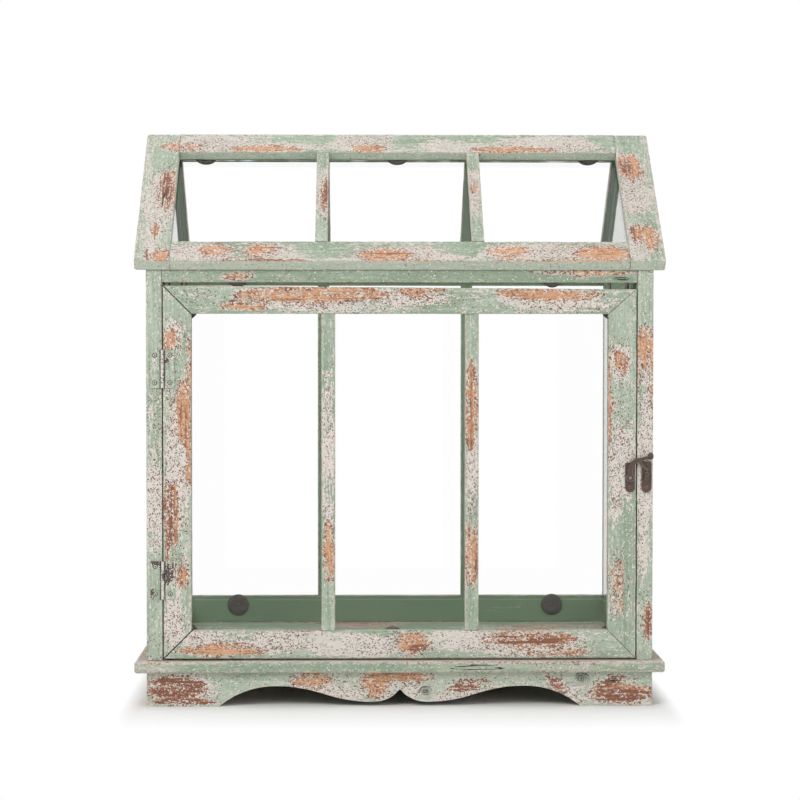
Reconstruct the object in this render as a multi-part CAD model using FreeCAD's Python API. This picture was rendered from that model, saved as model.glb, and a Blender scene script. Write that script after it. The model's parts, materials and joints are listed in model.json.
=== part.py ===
import FreeCAD, Part
import math
import os

# A wooden mini greenhouse for a table top: a glazed case on a scalloped plinth,
# with a pitched glazed roof and one glazed door that is hinged on the left.
# X is right, Y is away from the viewer, Z is up. The origin is on the ground, at the
# middle of the footprint. All sizes are in millimetres.

V = FreeCAD.Vector

# Case
case_width = 510.0          # outside of the left post to the outside of the right one
case_depth = 328.0          # front face of the front posts to the back of the rear ones
wall_height = 440.3         # height at which the roof's underside meets the front face
post_depth = 18.0
front_post_width = 16.0
rear_post_width = 18.0
side_wall = 18.0            # thickness of the side rails and of the gable's rafters
rear_wall = 13.0            # thickness of the rear rails
front_rail = 14.0           # thickness of the rail above the door
front_rail_height = 13.3    # on the front face
rear_rail_height = 11.8     # on the rear face
bottom_rail_height = 30.0
side_top_rail_height = 26.0
rafter_width = 15.0
muntin_width = 13.0
wood_ease = 1.0             # rounding of the long edges

# Plinth
apron_height = 34.5
apron_thickness = 14.0
base_thickness = 12.0
base_side_overhang = 12.0
base_front_overhang = 9.0
base_rounding = 3.0
foot_length = 73.0          # flat part of the plinth at each end, on the ground
side_foot_length = 52.0     # the same on the side aprons, behind the front one
arch_top = 20.5             # height of the arches above the ground
arch_rise = 56.0            # run over which the edge climbs from the foot to the arch's top
drop_height = 4.3           # lowest point of the pendant scrolls in the middle
drop_from_middle = 27.0
cusp_height = 17.0

# Roof
roof_pitch = 38.8           # degrees
roof_thickness = 12.0
roof_stile_width = 35.5
roof_bottom_member = 33.0   # width of the rail at the eave
roof_top_member = 33.0      # width of the rail at the ridge
roof_front_overhang = 9.0
roof_side_overhang = 11.5
roof_corner_rounding = 3.0

# Door
door_thickness = 14.0
door_member = 28.4
door_muntin_width = 14.0
door_side_gap = 1.0
door_top_gap = 3.0          # at the hinge side
door_top_drop = 3.5         # the top edge falls by this much towards the latch
door_bottom_gap = 1.8
mitre_ease = 0.5            # V-groove along the edges of the door's mitred frame

# Glazing
glass = 2.0                 # thickness of every pane, and depth of every rebate
rebate = 4.0                # how far a rebate runs into the wood
pane_clearance = 0.5        # a pane is this much smaller than its rebate on each edge
clip_radius = 12.0          # round glazing clips that hold the panes from the inside
clip_thickness = 1.6
clip_rim_rounding = 0.7
wall_clip_inset = 6.0       # from the edge of the rebate to the clip's screw
roof_clip_inset = 6.5
door_corner_clip = 5.8      # from the window's corner, along and up, to the screw on the mitre
door_low_clip_inset = 9.3   # from the window's lower edge to the middle clip's screw
door_low_clip_x = -7.5
wall_clip_from_end = 59.0   # from the end of a rail to the outer clips
roof_clip_from_end = 26.0
screw_hole_clearance = 0.3

# Screws
screw_head_radius = 2.0
screw_head_height = 0.8
screw_shank_radius = 0.9
screw_length = 7.0
recess_width = 0.5
recess_depth = 0.45
recess_reach = 1.3          # from the middle of the head to the ends of its cross

# Door hinges
hinge_height = 38.4
hinge_knuckles = 4
hinge_leaf_width = 12.2     # from the hinge's axis to the leaf's free edge
hinge_leaf = 1.0            # thickness
hinge_barrel_radius = 1.8
hinge_pin_radius = 0.8
hinge_fit = 0.05            # radial clearance round the pins
hinge_clearance = 0.3       # barrel to the wood, and leaf to the other leaf's knuckles
hinge_knuckle_gap = 0.2
hinge_screw_spacing = 27.7
hinge_screw_inset = 7.6     # from the axis to the screws
hinge_from_top = 83.7       # from the door's top to the middle of the upper hinge
hinge_from_bottom = 79.5    # from the door's bottom to the middle of the lower hinge

# Latch
latch_plate_width = 10.0
latch_plate_height = 30.0
latch_plate = 1.0           # thickness of both plates
latch_below_middle = 20.2   # from the door's middle down to the bottom of both plates
latch_plate_to_edge = 6.3   # from the door's edge to the middle of its plate
catch_plate_width = 10.4
catch_plate_height = 31.5
catch_to_edge = 9.3         # from the post's inner face to the middle of the catch plate
latch_screw_up = 4.9        # from the bottom of a plate to its lower screw
catch_screw_rise = 22.5     # from the lower screw of the catch plate to the upper one
rivet_up = 14.8             # from the bottom of the plate to the rivet
rivet_radius = 1.1
rivet_head_radius = 2.5
rivet_head_height = 1.4
rivet_fit = 0.05
arm_lift = 1.1              # from the plate to the arm, to clear the screw heads
arm_thickness = 1.8
arm_eye_radius = 4.2
arm_width = 4.8
arm_shank = 7.0             # straight rise from the rivet to the bend
arm_bend_radius = 11.5
arm_bend_angle = 76.0       # degrees that the arm turns through
arm_neck = 12.4             # straight run from the bend to the knob
arm_neck_width = 3.4
finger_angle = 70.0         # where on the bend the finger leaves, in degrees
finger_tip_rise = 7.8       # from the rivet up to the finger's tip
finger_width = 2.4
knob_radius = 2.7
knob_rise = 1.4             # the knob is this much taller than it is wide
keeper_width = 4.0
keeper_height = 8.3
keeper_proud = 3.4
keeper_rounding = 1.8
keeper_clearance = 0.8      # from the finger's tip to the keeper under it

# Sizes that follow from the ones above
screw_hole_radius = screw_shank_radius + screw_hole_clearance
half_width = case_width / 2
half_depth = case_depth / 2
pitch = math.radians(roof_pitch)
base_top = apron_height + base_thickness
side_inner = half_width - side_wall
front_opening = half_width - front_post_width
rear_opening = half_width - rear_post_width
post_inner = half_depth - post_depth
rear_inner = half_depth - rear_wall
rail_top = base_top + bottom_rail_height
roof_half_width = half_width + roof_side_overhang
roof_window = roof_half_width - roof_stile_width
eave_y = half_depth + roof_front_overhang
slope_length = eave_y / math.cos(pitch)
slope_window = (roof_bottom_member, slope_length - roof_top_member)
door_half = front_opening - door_side_gap
front_rail_underside = wall_height - front_rail_height
door_bottom = base_top + door_bottom_gap
door_top = front_rail_underside - door_top_gap
door_inner = door_half - door_member
door_window = (door_bottom + door_member, door_top - door_member)
door_back = -half_depth + door_thickness


def underside(y):
    """Height of the roof's underside at a distance y from the middle."""
    return wall_height + (half_depth - abs(y)) * math.tan(pitch)


eave_z = underside(eave_y) + roof_thickness / math.cos(pitch)
ridge_z = underside(0) + roof_thickness / math.cos(pitch)
rafter_drop = rafter_width / math.cos(pitch)
gable_sill = underside(post_inner) - rafter_drop
side_window = (rail_top, gable_sill - side_top_rail_height)
rear_window = (rail_top, wall_height - rear_rail_height)


# Plain solids

def box(x, y, z):
    """A block between pairs of X, Y and Z."""
    size = (x[1] - x[0], y[1] - y[0], z[1] - z[0])
    return Part.makeBox(*size, V(x[0], y[0], z[0]))


def prism(points, along):
    """A solid whose outline is closed through points, pushed along a vector."""
    wire = Part.makePolygon(points + points[:1])
    return Part.Face(wire).extrude(along)


def prism_x(outline, x):
    """A solid with an outline of (y, z) points, between two values of X."""
    return prism([V(x[0], y, z) for y, z in outline], V(x[1] - x[0], 0, 0))


def prism_y(outline, y):
    """A solid with an outline of (x, z) points, between two values of Y."""
    return prism([V(x, y[0], z) for x, z in outline], V(0, y[1] - y[0], 0))


def rod(radius, start, end):
    """A round bar from one point to another."""
    return Part.makeCylinder(radius, (end - start).Length, start, end - start)


def mirror_x(shape):
    return shape.mirror(V(0, 0, 0), V(1, 0, 0))


def mirror_y(shape):
    return shape.mirror(V(0, 0, 0), V(0, 1, 0))


def edges_along(shape, axis):
    """The straight edges that run along one direction."""
    found = []
    for edge in shape.Edges:
        run = edge.Vertexes[-1].Point - edge.Vertexes[0].Point
        if run.Length > 0 and abs(run.normalize().dot(axis)) > 0.999:
            found.append(edge)
    return found


def eased(shape, axis, radius=wood_ease):
    """The same solid with its edges along an axis rounded."""
    return shape.makeFillet(radius, edges_along(shape, axis))


def on_roof(shape):
    """Lays a solid on the front slope: X across, Y up the slope, Z out of it."""
    copy = shape.copy()
    copy.rotate(V(0, 0, 0), V(1, 0, 0), roof_pitch)
    copy.translate(V(0, -eave_y, eave_z))
    return copy


# Screws and glazing clips, made with their axis along +Z and their head's seat at zero

def screw():
    """A round-headed screw with a cross recess."""
    cap_radius = (screw_head_radius ** 2 + screw_head_height ** 2) / (2 * screw_head_height)
    dome = Part.makeSphere(cap_radius, V(0, 0, screw_head_height - cap_radius))
    head = dome.common(Part.makeCylinder(screw_head_radius, screw_head_height))
    shank = Part.makeCylinder(screw_shank_radius, screw_length, V(0, 0, -screw_length))
    floor = screw_head_height - recess_depth
    reach = (-recess_reach, recess_reach)
    slot = box(reach, (-recess_width / 2, recess_width / 2), (floor, screw_head_height))
    cross = slot.fuse(slot.rotated(V(0, 0, 0), V(0, 0, 1), 90))
    return head.fuse(shank).cut(cross)


def clip():
    """A round clip: a flat disc with a hole for its screw and an eased rim."""
    disc = Part.makeCylinder(clip_radius, clip_thickness)
    rim = [e for e in disc.Edges if e.CenterOfMass.z > clip_thickness / 2 and len(e.Vertexes) == 1]
    disc = disc.makeFillet(clip_rim_rounding, rim)
    return disc.cut(Part.makeCylinder(screw_hole_radius, clip_thickness))


def facing(shape, direction, place):
    """Turns a solid made along +Z towards a direction and puts it at a place."""
    copy = shape.copy()
    copy.Placement = FreeCAD.Placement(place, FreeCAD.Rotation(V(0, 0, 1), direction))
    return copy


def clips_and_screws(spots):
    """One clip and one screw at each (place, direction); two groups of solids."""
    clips = [facing(clip(), way, place) for place, way in spots]
    heads = []
    for place, way in spots:
        heads.append(facing(screw(), way, place + way * clip_thickness))
    return Part.makeCompound(clips), Part.makeCompound(heads)


# Plinth

def half_scallop():
    """Edges of the right half of the plinth's lower edge, from the middle outwards."""
    cusp = V(0, 0, cusp_height)
    low = V(drop_from_middle, 0, drop_height)
    foot = V(half_width - foot_length, 0, 0)
    top = V(foot.x - arch_rise, 0, arch_top)
    return [
        tangent_arc(low, cusp),
        ogee(low, top)[0],
        ogee(low, top)[1],
        tangent_arc(top, foot),
    ]


def tangent_arc(level, other):
    """An arc that is level at its first point and runs to the other one."""
    run = other.x - level.x
    rise = other.z - level.z
    radius = (run ** 2 + rise ** 2) / (2 * rise)
    turn = math.atan2(run / radius, 1 - rise / radius) / 2
    middle = V(level.x + radius * math.sin(turn), 0, level.z + radius * (1 - math.cos(turn)))
    return Part.Arc(level, middle, other).toShape()


def ogee(low, high):
    """Two equal arcs that are level at both ends and meet half way."""
    half = (low + high) * 0.5
    return tangent_arc(low, half), tangent_arc(high, half)


def long_apron():
    """The front apron: flat feet, two arches and a pair of scrolls in the middle."""
    right = half_scallop()
    left = [mirror_x(edge) for edge in right]
    foot = half_width - foot_length
    corners = [
        V(foot, 0, 0),
        V(half_width, 0, 0),
        V(half_width, 0, apron_height),
        V(-half_width, 0, apron_height),
        V(-half_width, 0, 0),
        V(-foot, 0, 0),
    ]
    edges = right + left + Part.makePolygon(corners).Edges
    face = Part.Face(Part.Wire(Part.__sortEdges__(edges)))
    board = face.extrude(V(0, apron_thickness, 0))
    board.translate(V(0, -half_depth, 0))
    return eased(board, V(0, 0, 1))


def side_apron():
    """The right apron: two feet and one long arch, between the front and rear aprons."""
    end = half_depth - apron_thickness
    foot = end - side_foot_length
    rise = tangent_arc(V(foot - arch_rise, 0, arch_top), V(foot, 0, 0))
    corners = [
        V(foot, 0, 0),
        V(end, 0, 0),
        V(end, 0, apron_height),
        V(-end, 0, apron_height),
        V(-end, 0, 0),
        V(-foot, 0, 0),
    ]
    top = Part.LineSegment(V(arch_rise - foot, 0, arch_top), V(foot - arch_rise, 0, arch_top))
    edges = [rise, mirror_x(rise), top.toShape()] + Part.makePolygon(corners).Edges
    board = Part.Face(Part.Wire(Part.__sortEdges__(edges))).extrude(V(0, apron_thickness, 0))
    board.rotate(V(0, 0, 0), V(0, 0, 1), 90)
    board.translate(V(half_width, 0, 0))
    return board


def base_board():
    """The floor of the case, with rounded edges that stand out all round."""
    reach = half_width + base_side_overhang
    depth = half_depth + base_front_overhang
    board = box((-reach, reach), (-depth, depth), (apron_height, base_top))
    return board.makeFillet(base_rounding, board.Edges)


# Posts and rails of the case

def post(width, back):
    """A right-hand post at the front, or at the back, cut to the roof's slope."""
    outer = half_depth
    outline = [
        (-outer, base_top),
        (-post_inner, base_top),
        (-post_inner, underside(post_inner)),
        (-outer, underside(outer)),
    ]
    shape = eased(prism_x(outline, (half_width - width, half_width)), V(0, 0, 1))
    groove = box(
        (side_inner, side_inner + glass),
        (-post_inner - rebate, -post_inner),
        (side_window[0] - rebate, side_window[1] + rebate),
    )
    shape = shape.cut(groove)
    if back:
        pocket = box(
            (rear_opening, rear_opening + rebate),
            (-rear_inner - glass, -rear_inner),
            (rear_window[0] - rebate, rear_window[1] + rebate),
        )
        shape = mirror_y(shape.cut(pocket))
    return shape


def top_rail(reach, thickness, low):
    """A front rail between the posts, whose top follows the roof's slope."""
    inner = half_depth - thickness
    outline = [
        (-half_depth, low),
        (-inner, low),
        (-inner, underside(inner)),
        (-half_depth, underside(half_depth)),
    ]
    return eased(prism_x(outline, (-reach, reach)), V(1, 0, 0))


def rear_rebate():
    """The space that the rear pane's rebate takes out of the rear wall."""
    reach = rear_opening + rebate
    low = rear_window[0] - rebate
    high = rear_window[1] + rebate
    return box((-reach, reach), (rear_inner, rear_inner + glass), (low, high))


def rear_top_rail():
    rail = mirror_y(top_rail(rear_opening, rear_wall, rear_window[1]))
    return rail.cut(rear_rebate())


def rear_bottom_rail():
    span = (-rear_opening, rear_opening)
    rail = eased(box(span, (rear_inner, half_depth), (base_top, rail_top)), V(1, 0, 0))
    return rail.cut(rear_rebate())


def muntin_places(opening, width):
    """Middles of two bars that divide an opening into three equal lights."""
    light = (2 * opening - 2 * width) / 3
    return (-(light + width) / 2, (light + width) / 2)


def rear_muntins():
    bars = []
    for x in muntin_places(rear_opening, muntin_width):
        span = (x - muntin_width / 2, x + muntin_width / 2)
        bar = box(span, (rear_inner + glass, half_depth), rear_window)
        bars.append(eased(bar, V(0, 0, 1)))
    return Part.makeCompound(bars)


def rear_glass():
    reach = rear_opening + rebate - pane_clearance
    low = rear_window[0] - rebate + pane_clearance
    high = rear_window[1] + rebate - pane_clearance
    return box((-reach, reach), (rear_inner, rear_inner + glass), (low, high))


# Right side wall

def side_rebate():
    """The space that the side pane's rebate takes out of the side wall."""
    reach = post_inner + rebate
    low = side_window[0] - rebate
    high = side_window[1] + rebate
    return box((side_inner, side_inner + glass), (-reach, reach), (low, high))


def side_bottom_rail():
    span = (-post_inner, post_inner)
    rail = eased(box((side_inner, half_width), span, (base_top, rail_top)), V(0, 1, 0))
    return rail.cut(side_rebate())


def side_top_rail():
    span = (-post_inner, post_inner)
    height = (side_window[1], gable_sill)
    rail = eased(box((side_inner, half_width), span, height), V(0, 1, 0))
    return rail.cut(side_rebate()).cut(gable_pane(rebate, 0))


def side_muntin():
    span = (-muntin_width / 2, muntin_width / 2)
    bar = box((side_inner + glass, half_width), span, side_window)
    return eased(bar, V(0, 0, 1))


def side_glass():
    reach = post_inner + rebate - pane_clearance
    low = side_window[0] - rebate + pane_clearance
    high = side_window[1] + rebate - pane_clearance
    return box((side_inner, side_inner + glass), (-reach, reach), (low, high))


# Gable over the right side wall

def gable_pane(grow, gap):
    """The gable's light, grown all round, with its sharp corners cut off at the posts."""
    end = post_inner - gap
    rise = grow / math.cos(pitch)
    shoulder = gable_sill + gap * math.tan(pitch) + rise
    peak = gable_sill + post_inner * math.tan(pitch) + rise
    outline = [
        (-end, gable_sill - grow),
        (end, gable_sill - grow),
        (end, shoulder),
        (0, peak),
        (-end, shoulder),
    ]
    return prism_x(outline, (side_inner, side_inner + glass))


def gable_rafter():
    """The front rafter: from the post's back face up to the ridge."""
    outline = [
        (-post_inner, gable_sill),
        (0, underside(0) - rafter_drop),
        (0, underside(0)),
        (-post_inner, underside(post_inner)),
    ]
    bar = prism_x(outline, (side_inner, half_width))
    slope = V(0, math.cos(pitch), math.sin(pitch))
    return eased(bar, slope).cut(gable_pane(rebate, 0))


def gable_glass():
    pane = gable_pane(rebate - pane_clearance, pane_clearance)
    return Part.makeCompound([mirror_x(pane), pane])


# Roof panels, made flat on the front slope

def roof_rebate():
    """The space for the pane on the inside of a roof panel."""
    reach = roof_window + rebate
    low = slope_window[0] - rebate
    high = slope_window[1] + rebate
    return box((-reach, reach), (low, high), (-roof_thickness, glass - roof_thickness))


def past_ridge():
    """Everything behind the ridge, where the two panels meet."""
    reach = 2 * roof_half_width
    return box((-reach, reach), (0, 2 * eave_y), (0, 2 * ridge_z))


def roof_stile():
    """The right stile: its outer corners are rounded, and it is mitred at the ridge."""
    bar = box((roof_window, roof_half_width), (0, slope_length), (-roof_thickness, 0))
    middle = (roof_window + roof_half_width) / 2
    outer = [e for e in edges_along(bar, V(0, 0, 1)) if e.CenterOfMass.x > middle]
    bar = eased(bar.makeFillet(roof_corner_rounding, outer), V(0, 1, 0))
    return on_roof(bar.cut(roof_rebate())).cut(past_ridge())


def roof_rail(low, high):
    """A rail between the stiles, from one height up the slope to another."""
    bar = box((-roof_window, roof_window), (low, high), (-roof_thickness, 0))
    return on_roof(eased(bar, V(1, 0, 0)).cut(roof_rebate())).cut(past_ridge())


def roof_top_rail():
    """The rail at the ridge: only its lower edges are rounded."""
    span = (-roof_window, roof_window)
    bar = box(span, (slope_window[1], slope_length), (-roof_thickness, 0))
    lower = [e for e in edges_along(bar, V(1, 0, 0)) if e.CenterOfMass.y < slope_length]
    bar = bar.makeFillet(wood_ease, lower)
    return on_roof(bar.cut(roof_rebate())).cut(past_ridge())


def roof_muntins():
    bars = []
    for x in muntin_places(roof_window, muntin_width):
        span = (x - muntin_width / 2, x + muntin_width / 2)
        bar = box(span, slope_window, (glass - roof_thickness, 0))
        bars.append(on_roof(eased(bar, V(0, 1, 0))))
    return Part.makeCompound(bars)


def roof_glass():
    reach = roof_window + rebate - pane_clearance
    low = slope_window[0] - rebate + pane_clearance
    high = slope_window[1] + rebate - pane_clearance
    return on_roof(box((-reach, reach), (low, high), (-roof_thickness, glass - roof_thickness)))


# Door, hung between the front posts and flush with them

def door_corners():
    """Outer and inner corners of the frame, from the lower left, anticlockwise."""
    low = door_bottom
    outer = [
        (-door_half, low),
        (door_half, low),
        (door_half, door_top - door_top_drop),
        (-door_half, door_top),
    ]
    inner = [
        (-door_inner, door_window[0]),
        (door_inner, door_window[0]),
        (door_inner, door_window[1]),
        (-door_inner, door_window[1]),
    ]
    return outer, inner


def door_frame_piece(first):
    """One mitred side of the frame, from corner number first to the next one."""
    outer, inner = door_corners()
    second = (first + 1) % 4
    outline = [outer[first], outer[second], inner[second], inner[first]]
    bar = prism_y(outline, (-half_depth, door_back))
    front = [e for e in bar.Edges if e.BoundBox.YMax < -half_depth + wood_ease]
    bar = bar.makeChamfer(mitre_ease, front)
    return bar.cut(door_rebate())


def door_rebate():
    reach = door_inner + rebate
    low = door_window[0] - rebate
    high = door_window[1] + rebate
    return box((-reach, reach), (door_back - glass, door_back), (low, high))


def door_muntins():
    bars = []
    for x in muntin_places(door_inner, door_muntin_width):
        span = (x - door_muntin_width / 2, x + door_muntin_width / 2)
        bar = box(span, (-half_depth, door_back - glass), door_window)
        bars.append(eased(bar, V(0, 0, 1)))
    return Part.makeCompound(bars)


def door_glass():
    reach = door_inner + rebate - pane_clearance
    low = door_window[0] - rebate + pane_clearance
    high = door_window[1] + rebate - pane_clearance
    return box((-reach, reach), (door_back - glass, door_back), (low, high))


# Hinges on the front face, at the left

upper_hinge = door_top - hinge_from_top
lower_hinge = door_bottom + hinge_from_bottom
hinge_x = -(front_opening + door_half) / 2
hinge_y = -half_depth - hinge_barrel_radius - hinge_clearance
knuckle = hinge_height / hinge_knuckles


def hinge_leaf_blank(middle, way):
    """The flat part of a leaf: way is -1 on the post and 1 on the door."""
    inner = hinge_x + way * (hinge_barrel_radius + hinge_clearance)
    outer = hinge_x + way * hinge_leaf_width
    span = (min(inner, outer), max(inner, outer))
    height = (middle - hinge_height / 2, middle + hinge_height / 2)
    return box(span, (-half_depth - hinge_leaf, -half_depth), height)


def hinge_leaf_solid(middle, way):
    """A leaf with every second knuckle, bored for the pin and for its screws."""
    leaf = hinge_leaf_blank(middle, way)
    top = middle + hinge_height / 2
    for number in range(0 if way < 0 else 1, hinge_knuckles, 2):
        high = top - number * knuckle - hinge_knuckle_gap / 2
        low = high - knuckle + hinge_knuckle_gap
        barrel = rod(hinge_barrel_radius, V(hinge_x, hinge_y, low), V(hinge_x, hinge_y, high))
        near = hinge_x + way * hinge_pin_radius
        far = hinge_x + way * (hinge_barrel_radius + 2 * hinge_clearance)
        span = (min(near, far), max(near, far))
        tab = box(span, (-half_depth - hinge_leaf, -half_depth - hinge_clearance), (low, high))
        leaf = leaf.fuse(barrel).fuse(tab)
    low = V(hinge_x, hinge_y, middle - hinge_height)
    high = V(hinge_x, hinge_y, middle + hinge_height)
    leaf = leaf.cut(rod(hinge_pin_radius + hinge_fit, low, high))
    for place in hinge_screw_places(middle, way):
        leaf = leaf.cut(rod(screw_hole_radius, place, place + V(0, hinge_leaf, 0)))
    return leaf.removeSplitter()


def hinge_screw_places(middle, way):
    """Where the screw heads seat on a leaf."""
    x = hinge_x + way * hinge_screw_inset
    y = -half_depth - hinge_leaf
    offset = hinge_screw_spacing / 2
    return [V(x, y, middle - offset), V(x, y, middle + offset)]


def hinge_pins():
    pins = []
    for middle in (upper_hinge, lower_hinge):
        low = V(hinge_x, hinge_y, middle - hinge_height / 2)
        high = V(hinge_x, hinge_y, middle + hinge_height / 2)
        pins.append(rod(hinge_pin_radius, low, high))
    return Part.makeCompound(pins)


# Latch: a curved arm on the door that drops onto a keeper on the right post

latch_x = door_half - latch_plate_to_edge
catch_x = front_opening + catch_to_edge
latch_plate_bottom = (door_bottom + door_top) / 2 - latch_below_middle
rivet_z = latch_plate_bottom + rivet_up
latch_screw_z = latch_plate_bottom + latch_screw_up
plate_front = -half_depth - latch_plate
arm_back = plate_front - arm_lift
arm_front = arm_back - arm_thickness


def round_ended_plate(x, width, height):
    """A plate on the front face with a round lower end and eased upper corners."""
    low = latch_plate_bottom
    span = (x - width / 2, x + width / 2)
    deep = (plate_front, -half_depth)
    plate = box(span, deep, (low + width / 2, low + height))
    tops = [e for e in edges_along(plate, V(0, 1, 0)) if e.CenterOfMass.z > low + width]
    plate = plate.makeFillet(width / 6, tops)
    centre = V(x, plate_front, low + width / 2)
    return plate.fuse(rod(width / 2, centre, centre + V(0, latch_plate, 0))).removeSplitter()


def screw_hole(x, z):
    return rod(screw_hole_radius, V(x, plate_front, z), V(x, -half_depth, z))


def latch_door_plate():
    plate = round_ended_plate(latch_x, latch_plate_width, latch_plate_height)
    shaft = rod(rivet_radius, V(latch_x, plate_front, rivet_z), V(latch_x, -half_depth, rivet_z))
    return plate.cut(screw_hole(latch_x, latch_screw_z)).cut(shaft)


def latch_catch():
    """The plate on the post, with a raised rounded keeper under the finger."""
    plate = round_ended_plate(catch_x, catch_plate_width, catch_plate_height)
    for rise in (0, catch_screw_rise):
        plate = plate.cut(screw_hole(catch_x, latch_screw_z + rise))
    top = finger_tip().z - finger_width / 2 - keeper_clearance
    span = (catch_x - keeper_width / 2, catch_x + keeper_width / 2)
    height = (top - keeper_height, top)
    block = box(span, (plate_front - keeper_proud, plate_front), height)
    block = eased(block, V(0, 1, 0), min(keeper_rounding, keeper_width * 0.45))
    return plate.fuse(block).removeSplitter()


def bend_centre():
    return V(latch_x + arm_bend_radius, 0, rivet_z + arm_shank)


def on_bend(angle):
    """A point on the middle line of the arm's bend, this many degrees along it."""
    turn = math.radians(180 - angle)
    return bend_centre() + V(math.cos(turn), 0, math.sin(turn)) * arm_bend_radius


def finger_tip():
    return V(catch_x, 0, rivet_z + finger_tip_rise)


def knob_place():
    """The neck runs on from the bend in a straight line."""
    turn = math.radians(arm_bend_angle)
    return on_bend(arm_bend_angle) + V(math.sin(turn), 0, math.cos(turn)) * arm_neck


def flat_bar(start, end, width):
    """A bar with round ends, as thick as the arm."""
    along = (end - start).normalize()
    side = V(-along.z, 0, along.x) * (width / 2)
    corners = [start + side, end + side, end - side, start - side]
    depth = V(0, arm_thickness, 0)
    bar = prism([V(p.x, arm_front, p.z) for p in corners], depth)
    for point in (start, end):
        seat = V(point.x, arm_front, point.z)
        bar = bar.fuse(rod(width / 2, seat, seat + depth))
    return bar


def latch_knob():
    """A thumb piece with round ends, at the end of the neck."""
    low = knob_place() + V(0, (arm_front + arm_back) / 2, 0)
    high = low + V(0, 0, knob_rise)
    ends = Part.makeSphere(knob_radius, low).fuse(Part.makeSphere(knob_radius, high))
    return ends.fuse(rod(knob_radius, low, high)).removeSplitter()


def latch_arm():
    """The eye on the rivet, the shank, the bend, the finger, the neck and the knob."""
    deep = V(0, arm_thickness, 0)
    eye = V(latch_x, arm_front, rivet_z)
    middle = bend_centre() + V(0, arm_front, 0)
    ring = rod(arm_bend_radius + arm_width / 2, middle, middle + deep)
    ring = ring.cut(rod(arm_bend_radius - arm_width / 2, middle, middle + deep))
    rays = [on_bend(a) - bend_centre() for a in (0, arm_bend_angle / 2, arm_bend_angle)]
    arm = ring.common(prism([middle] + [middle + ray * 2 for ray in rays], deep))
    arm = arm.fuse(rod(arm_eye_radius, eye, eye + deep))
    arm = arm.fuse(flat_bar(V(latch_x, 0, rivet_z), on_bend(0), arm_width))
    arm = arm.fuse(flat_bar(on_bend(arm_bend_angle), knob_place(), arm_neck_width))
    arm = arm.fuse(flat_bar(on_bend(finger_angle), finger_tip(), finger_width))
    arm = arm.fuse(latch_knob())
    bore = rod(rivet_radius + rivet_fit, eye - deep, eye + deep * 2)
    return arm.cut(bore).removeSplitter()


def latch_rivet():
    """Shaft through plate and arm, a collar under the arm and a domed head over it."""
    back = V(latch_x, -half_depth, rivet_z)
    seat = V(latch_x, arm_front - rivet_fit, rivet_z)
    shaft = rod(rivet_radius, back, seat)
    collar_end = V(latch_x, arm_back + rivet_fit, rivet_z)
    collar = rod(rivet_head_radius, V(latch_x, plate_front, rivet_z), collar_end)
    cap_radius = (rivet_head_radius ** 2 + rivet_head_height ** 2) / (2 * rivet_head_height)
    dome = Part.makeSphere(cap_radius, seat + V(0, cap_radius - rivet_head_height, 0))
    head = dome.common(rod(rivet_head_radius, seat, seat - V(0, rivet_head_height, 0)))
    return shaft.fuse(collar).fuse(head).removeSplitter()


# Where the glazing clips and the small screws go

def clip_row(reach, from_end, count):
    """Places for clips along a rail, from one outer clip to the other."""
    end = reach - from_end
    return [-end + 2 * end * number / (count - 1) for number in range(count)]


def roof_clip_spots():
    """On the underside of the rails at the ridge."""
    spots = []
    way = V(0, math.sin(pitch), -math.cos(pitch))
    up = slope_window[1] + rebate + roof_clip_inset
    y = -eave_y + up * math.cos(pitch) + roof_thickness * math.sin(pitch)
    z = eave_z + up * math.sin(pitch) - roof_thickness * math.cos(pitch)
    for x in clip_row(roof_window, roof_clip_from_end, 3):
        spots.append((V(x, y, z), way))
        spots.append((V(x, -y, z), V(0, -way.y, way.z)))
    return spots


def side_clip_spots():
    """On the bottom rails, and half way up the top rails, where they hold two panes."""
    spots = []
    low = side_window[0] - rebate - wall_clip_inset
    high = side_window[1] + side_top_rail_height / 2
    for side in (-1, 1):
        for y in clip_row(post_inner, wall_clip_from_end, 2):
            for z in (low, high):
                spots.append((V(side * side_inner, y, z), V(-side, 0, 0)))
    return spots


def rear_clip_spots():
    """On the inner faces of the rear rails."""
    low = rear_window[0] - rebate - wall_clip_inset
    high = rear_window[1] + rebate + wall_clip_inset
    row = clip_row(rear_opening, wall_clip_from_end, 2)
    return [(V(x, rear_inner, z), V(0, -1, 0)) for x in row for z in (low, high)]


def door_clip_spots():
    """Across the mitres at the four corners, and near the middle of the bottom rail."""
    across = door_inner + door_corner_clip
    low = door_window[0] - door_corner_clip
    high = door_window[1] + door_corner_clip
    spots = [(V(x, door_back, z), V(0, 1, 0)) for x in (-across, across) for z in (low, high)]
    middle = V(door_low_clip_x, door_back, door_window[0] - door_low_clip_inset)
    return spots + [(middle, V(0, 1, 0))]


def small_screws(places):
    return Part.makeCompound([facing(screw(), V(0, -1, 0), place) for place in places])


def case_screw_places():
    """Post leaves of the hinges, and the catch plate."""
    places = []
    for middle in (upper_hinge, lower_hinge):
        places += hinge_screw_places(middle, -1)
    for rise in (0, catch_screw_rise):
        places.append(V(catch_x, plate_front, latch_screw_z + rise))
    return places


def door_screw_places():
    """Door leaves of the hinges, and the latch's plate."""
    places = [V(latch_x, plate_front, latch_screw_z)]
    for middle in (upper_hinge, lower_hinge):
        places += hinge_screw_places(middle, 1)
    return places


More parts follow.
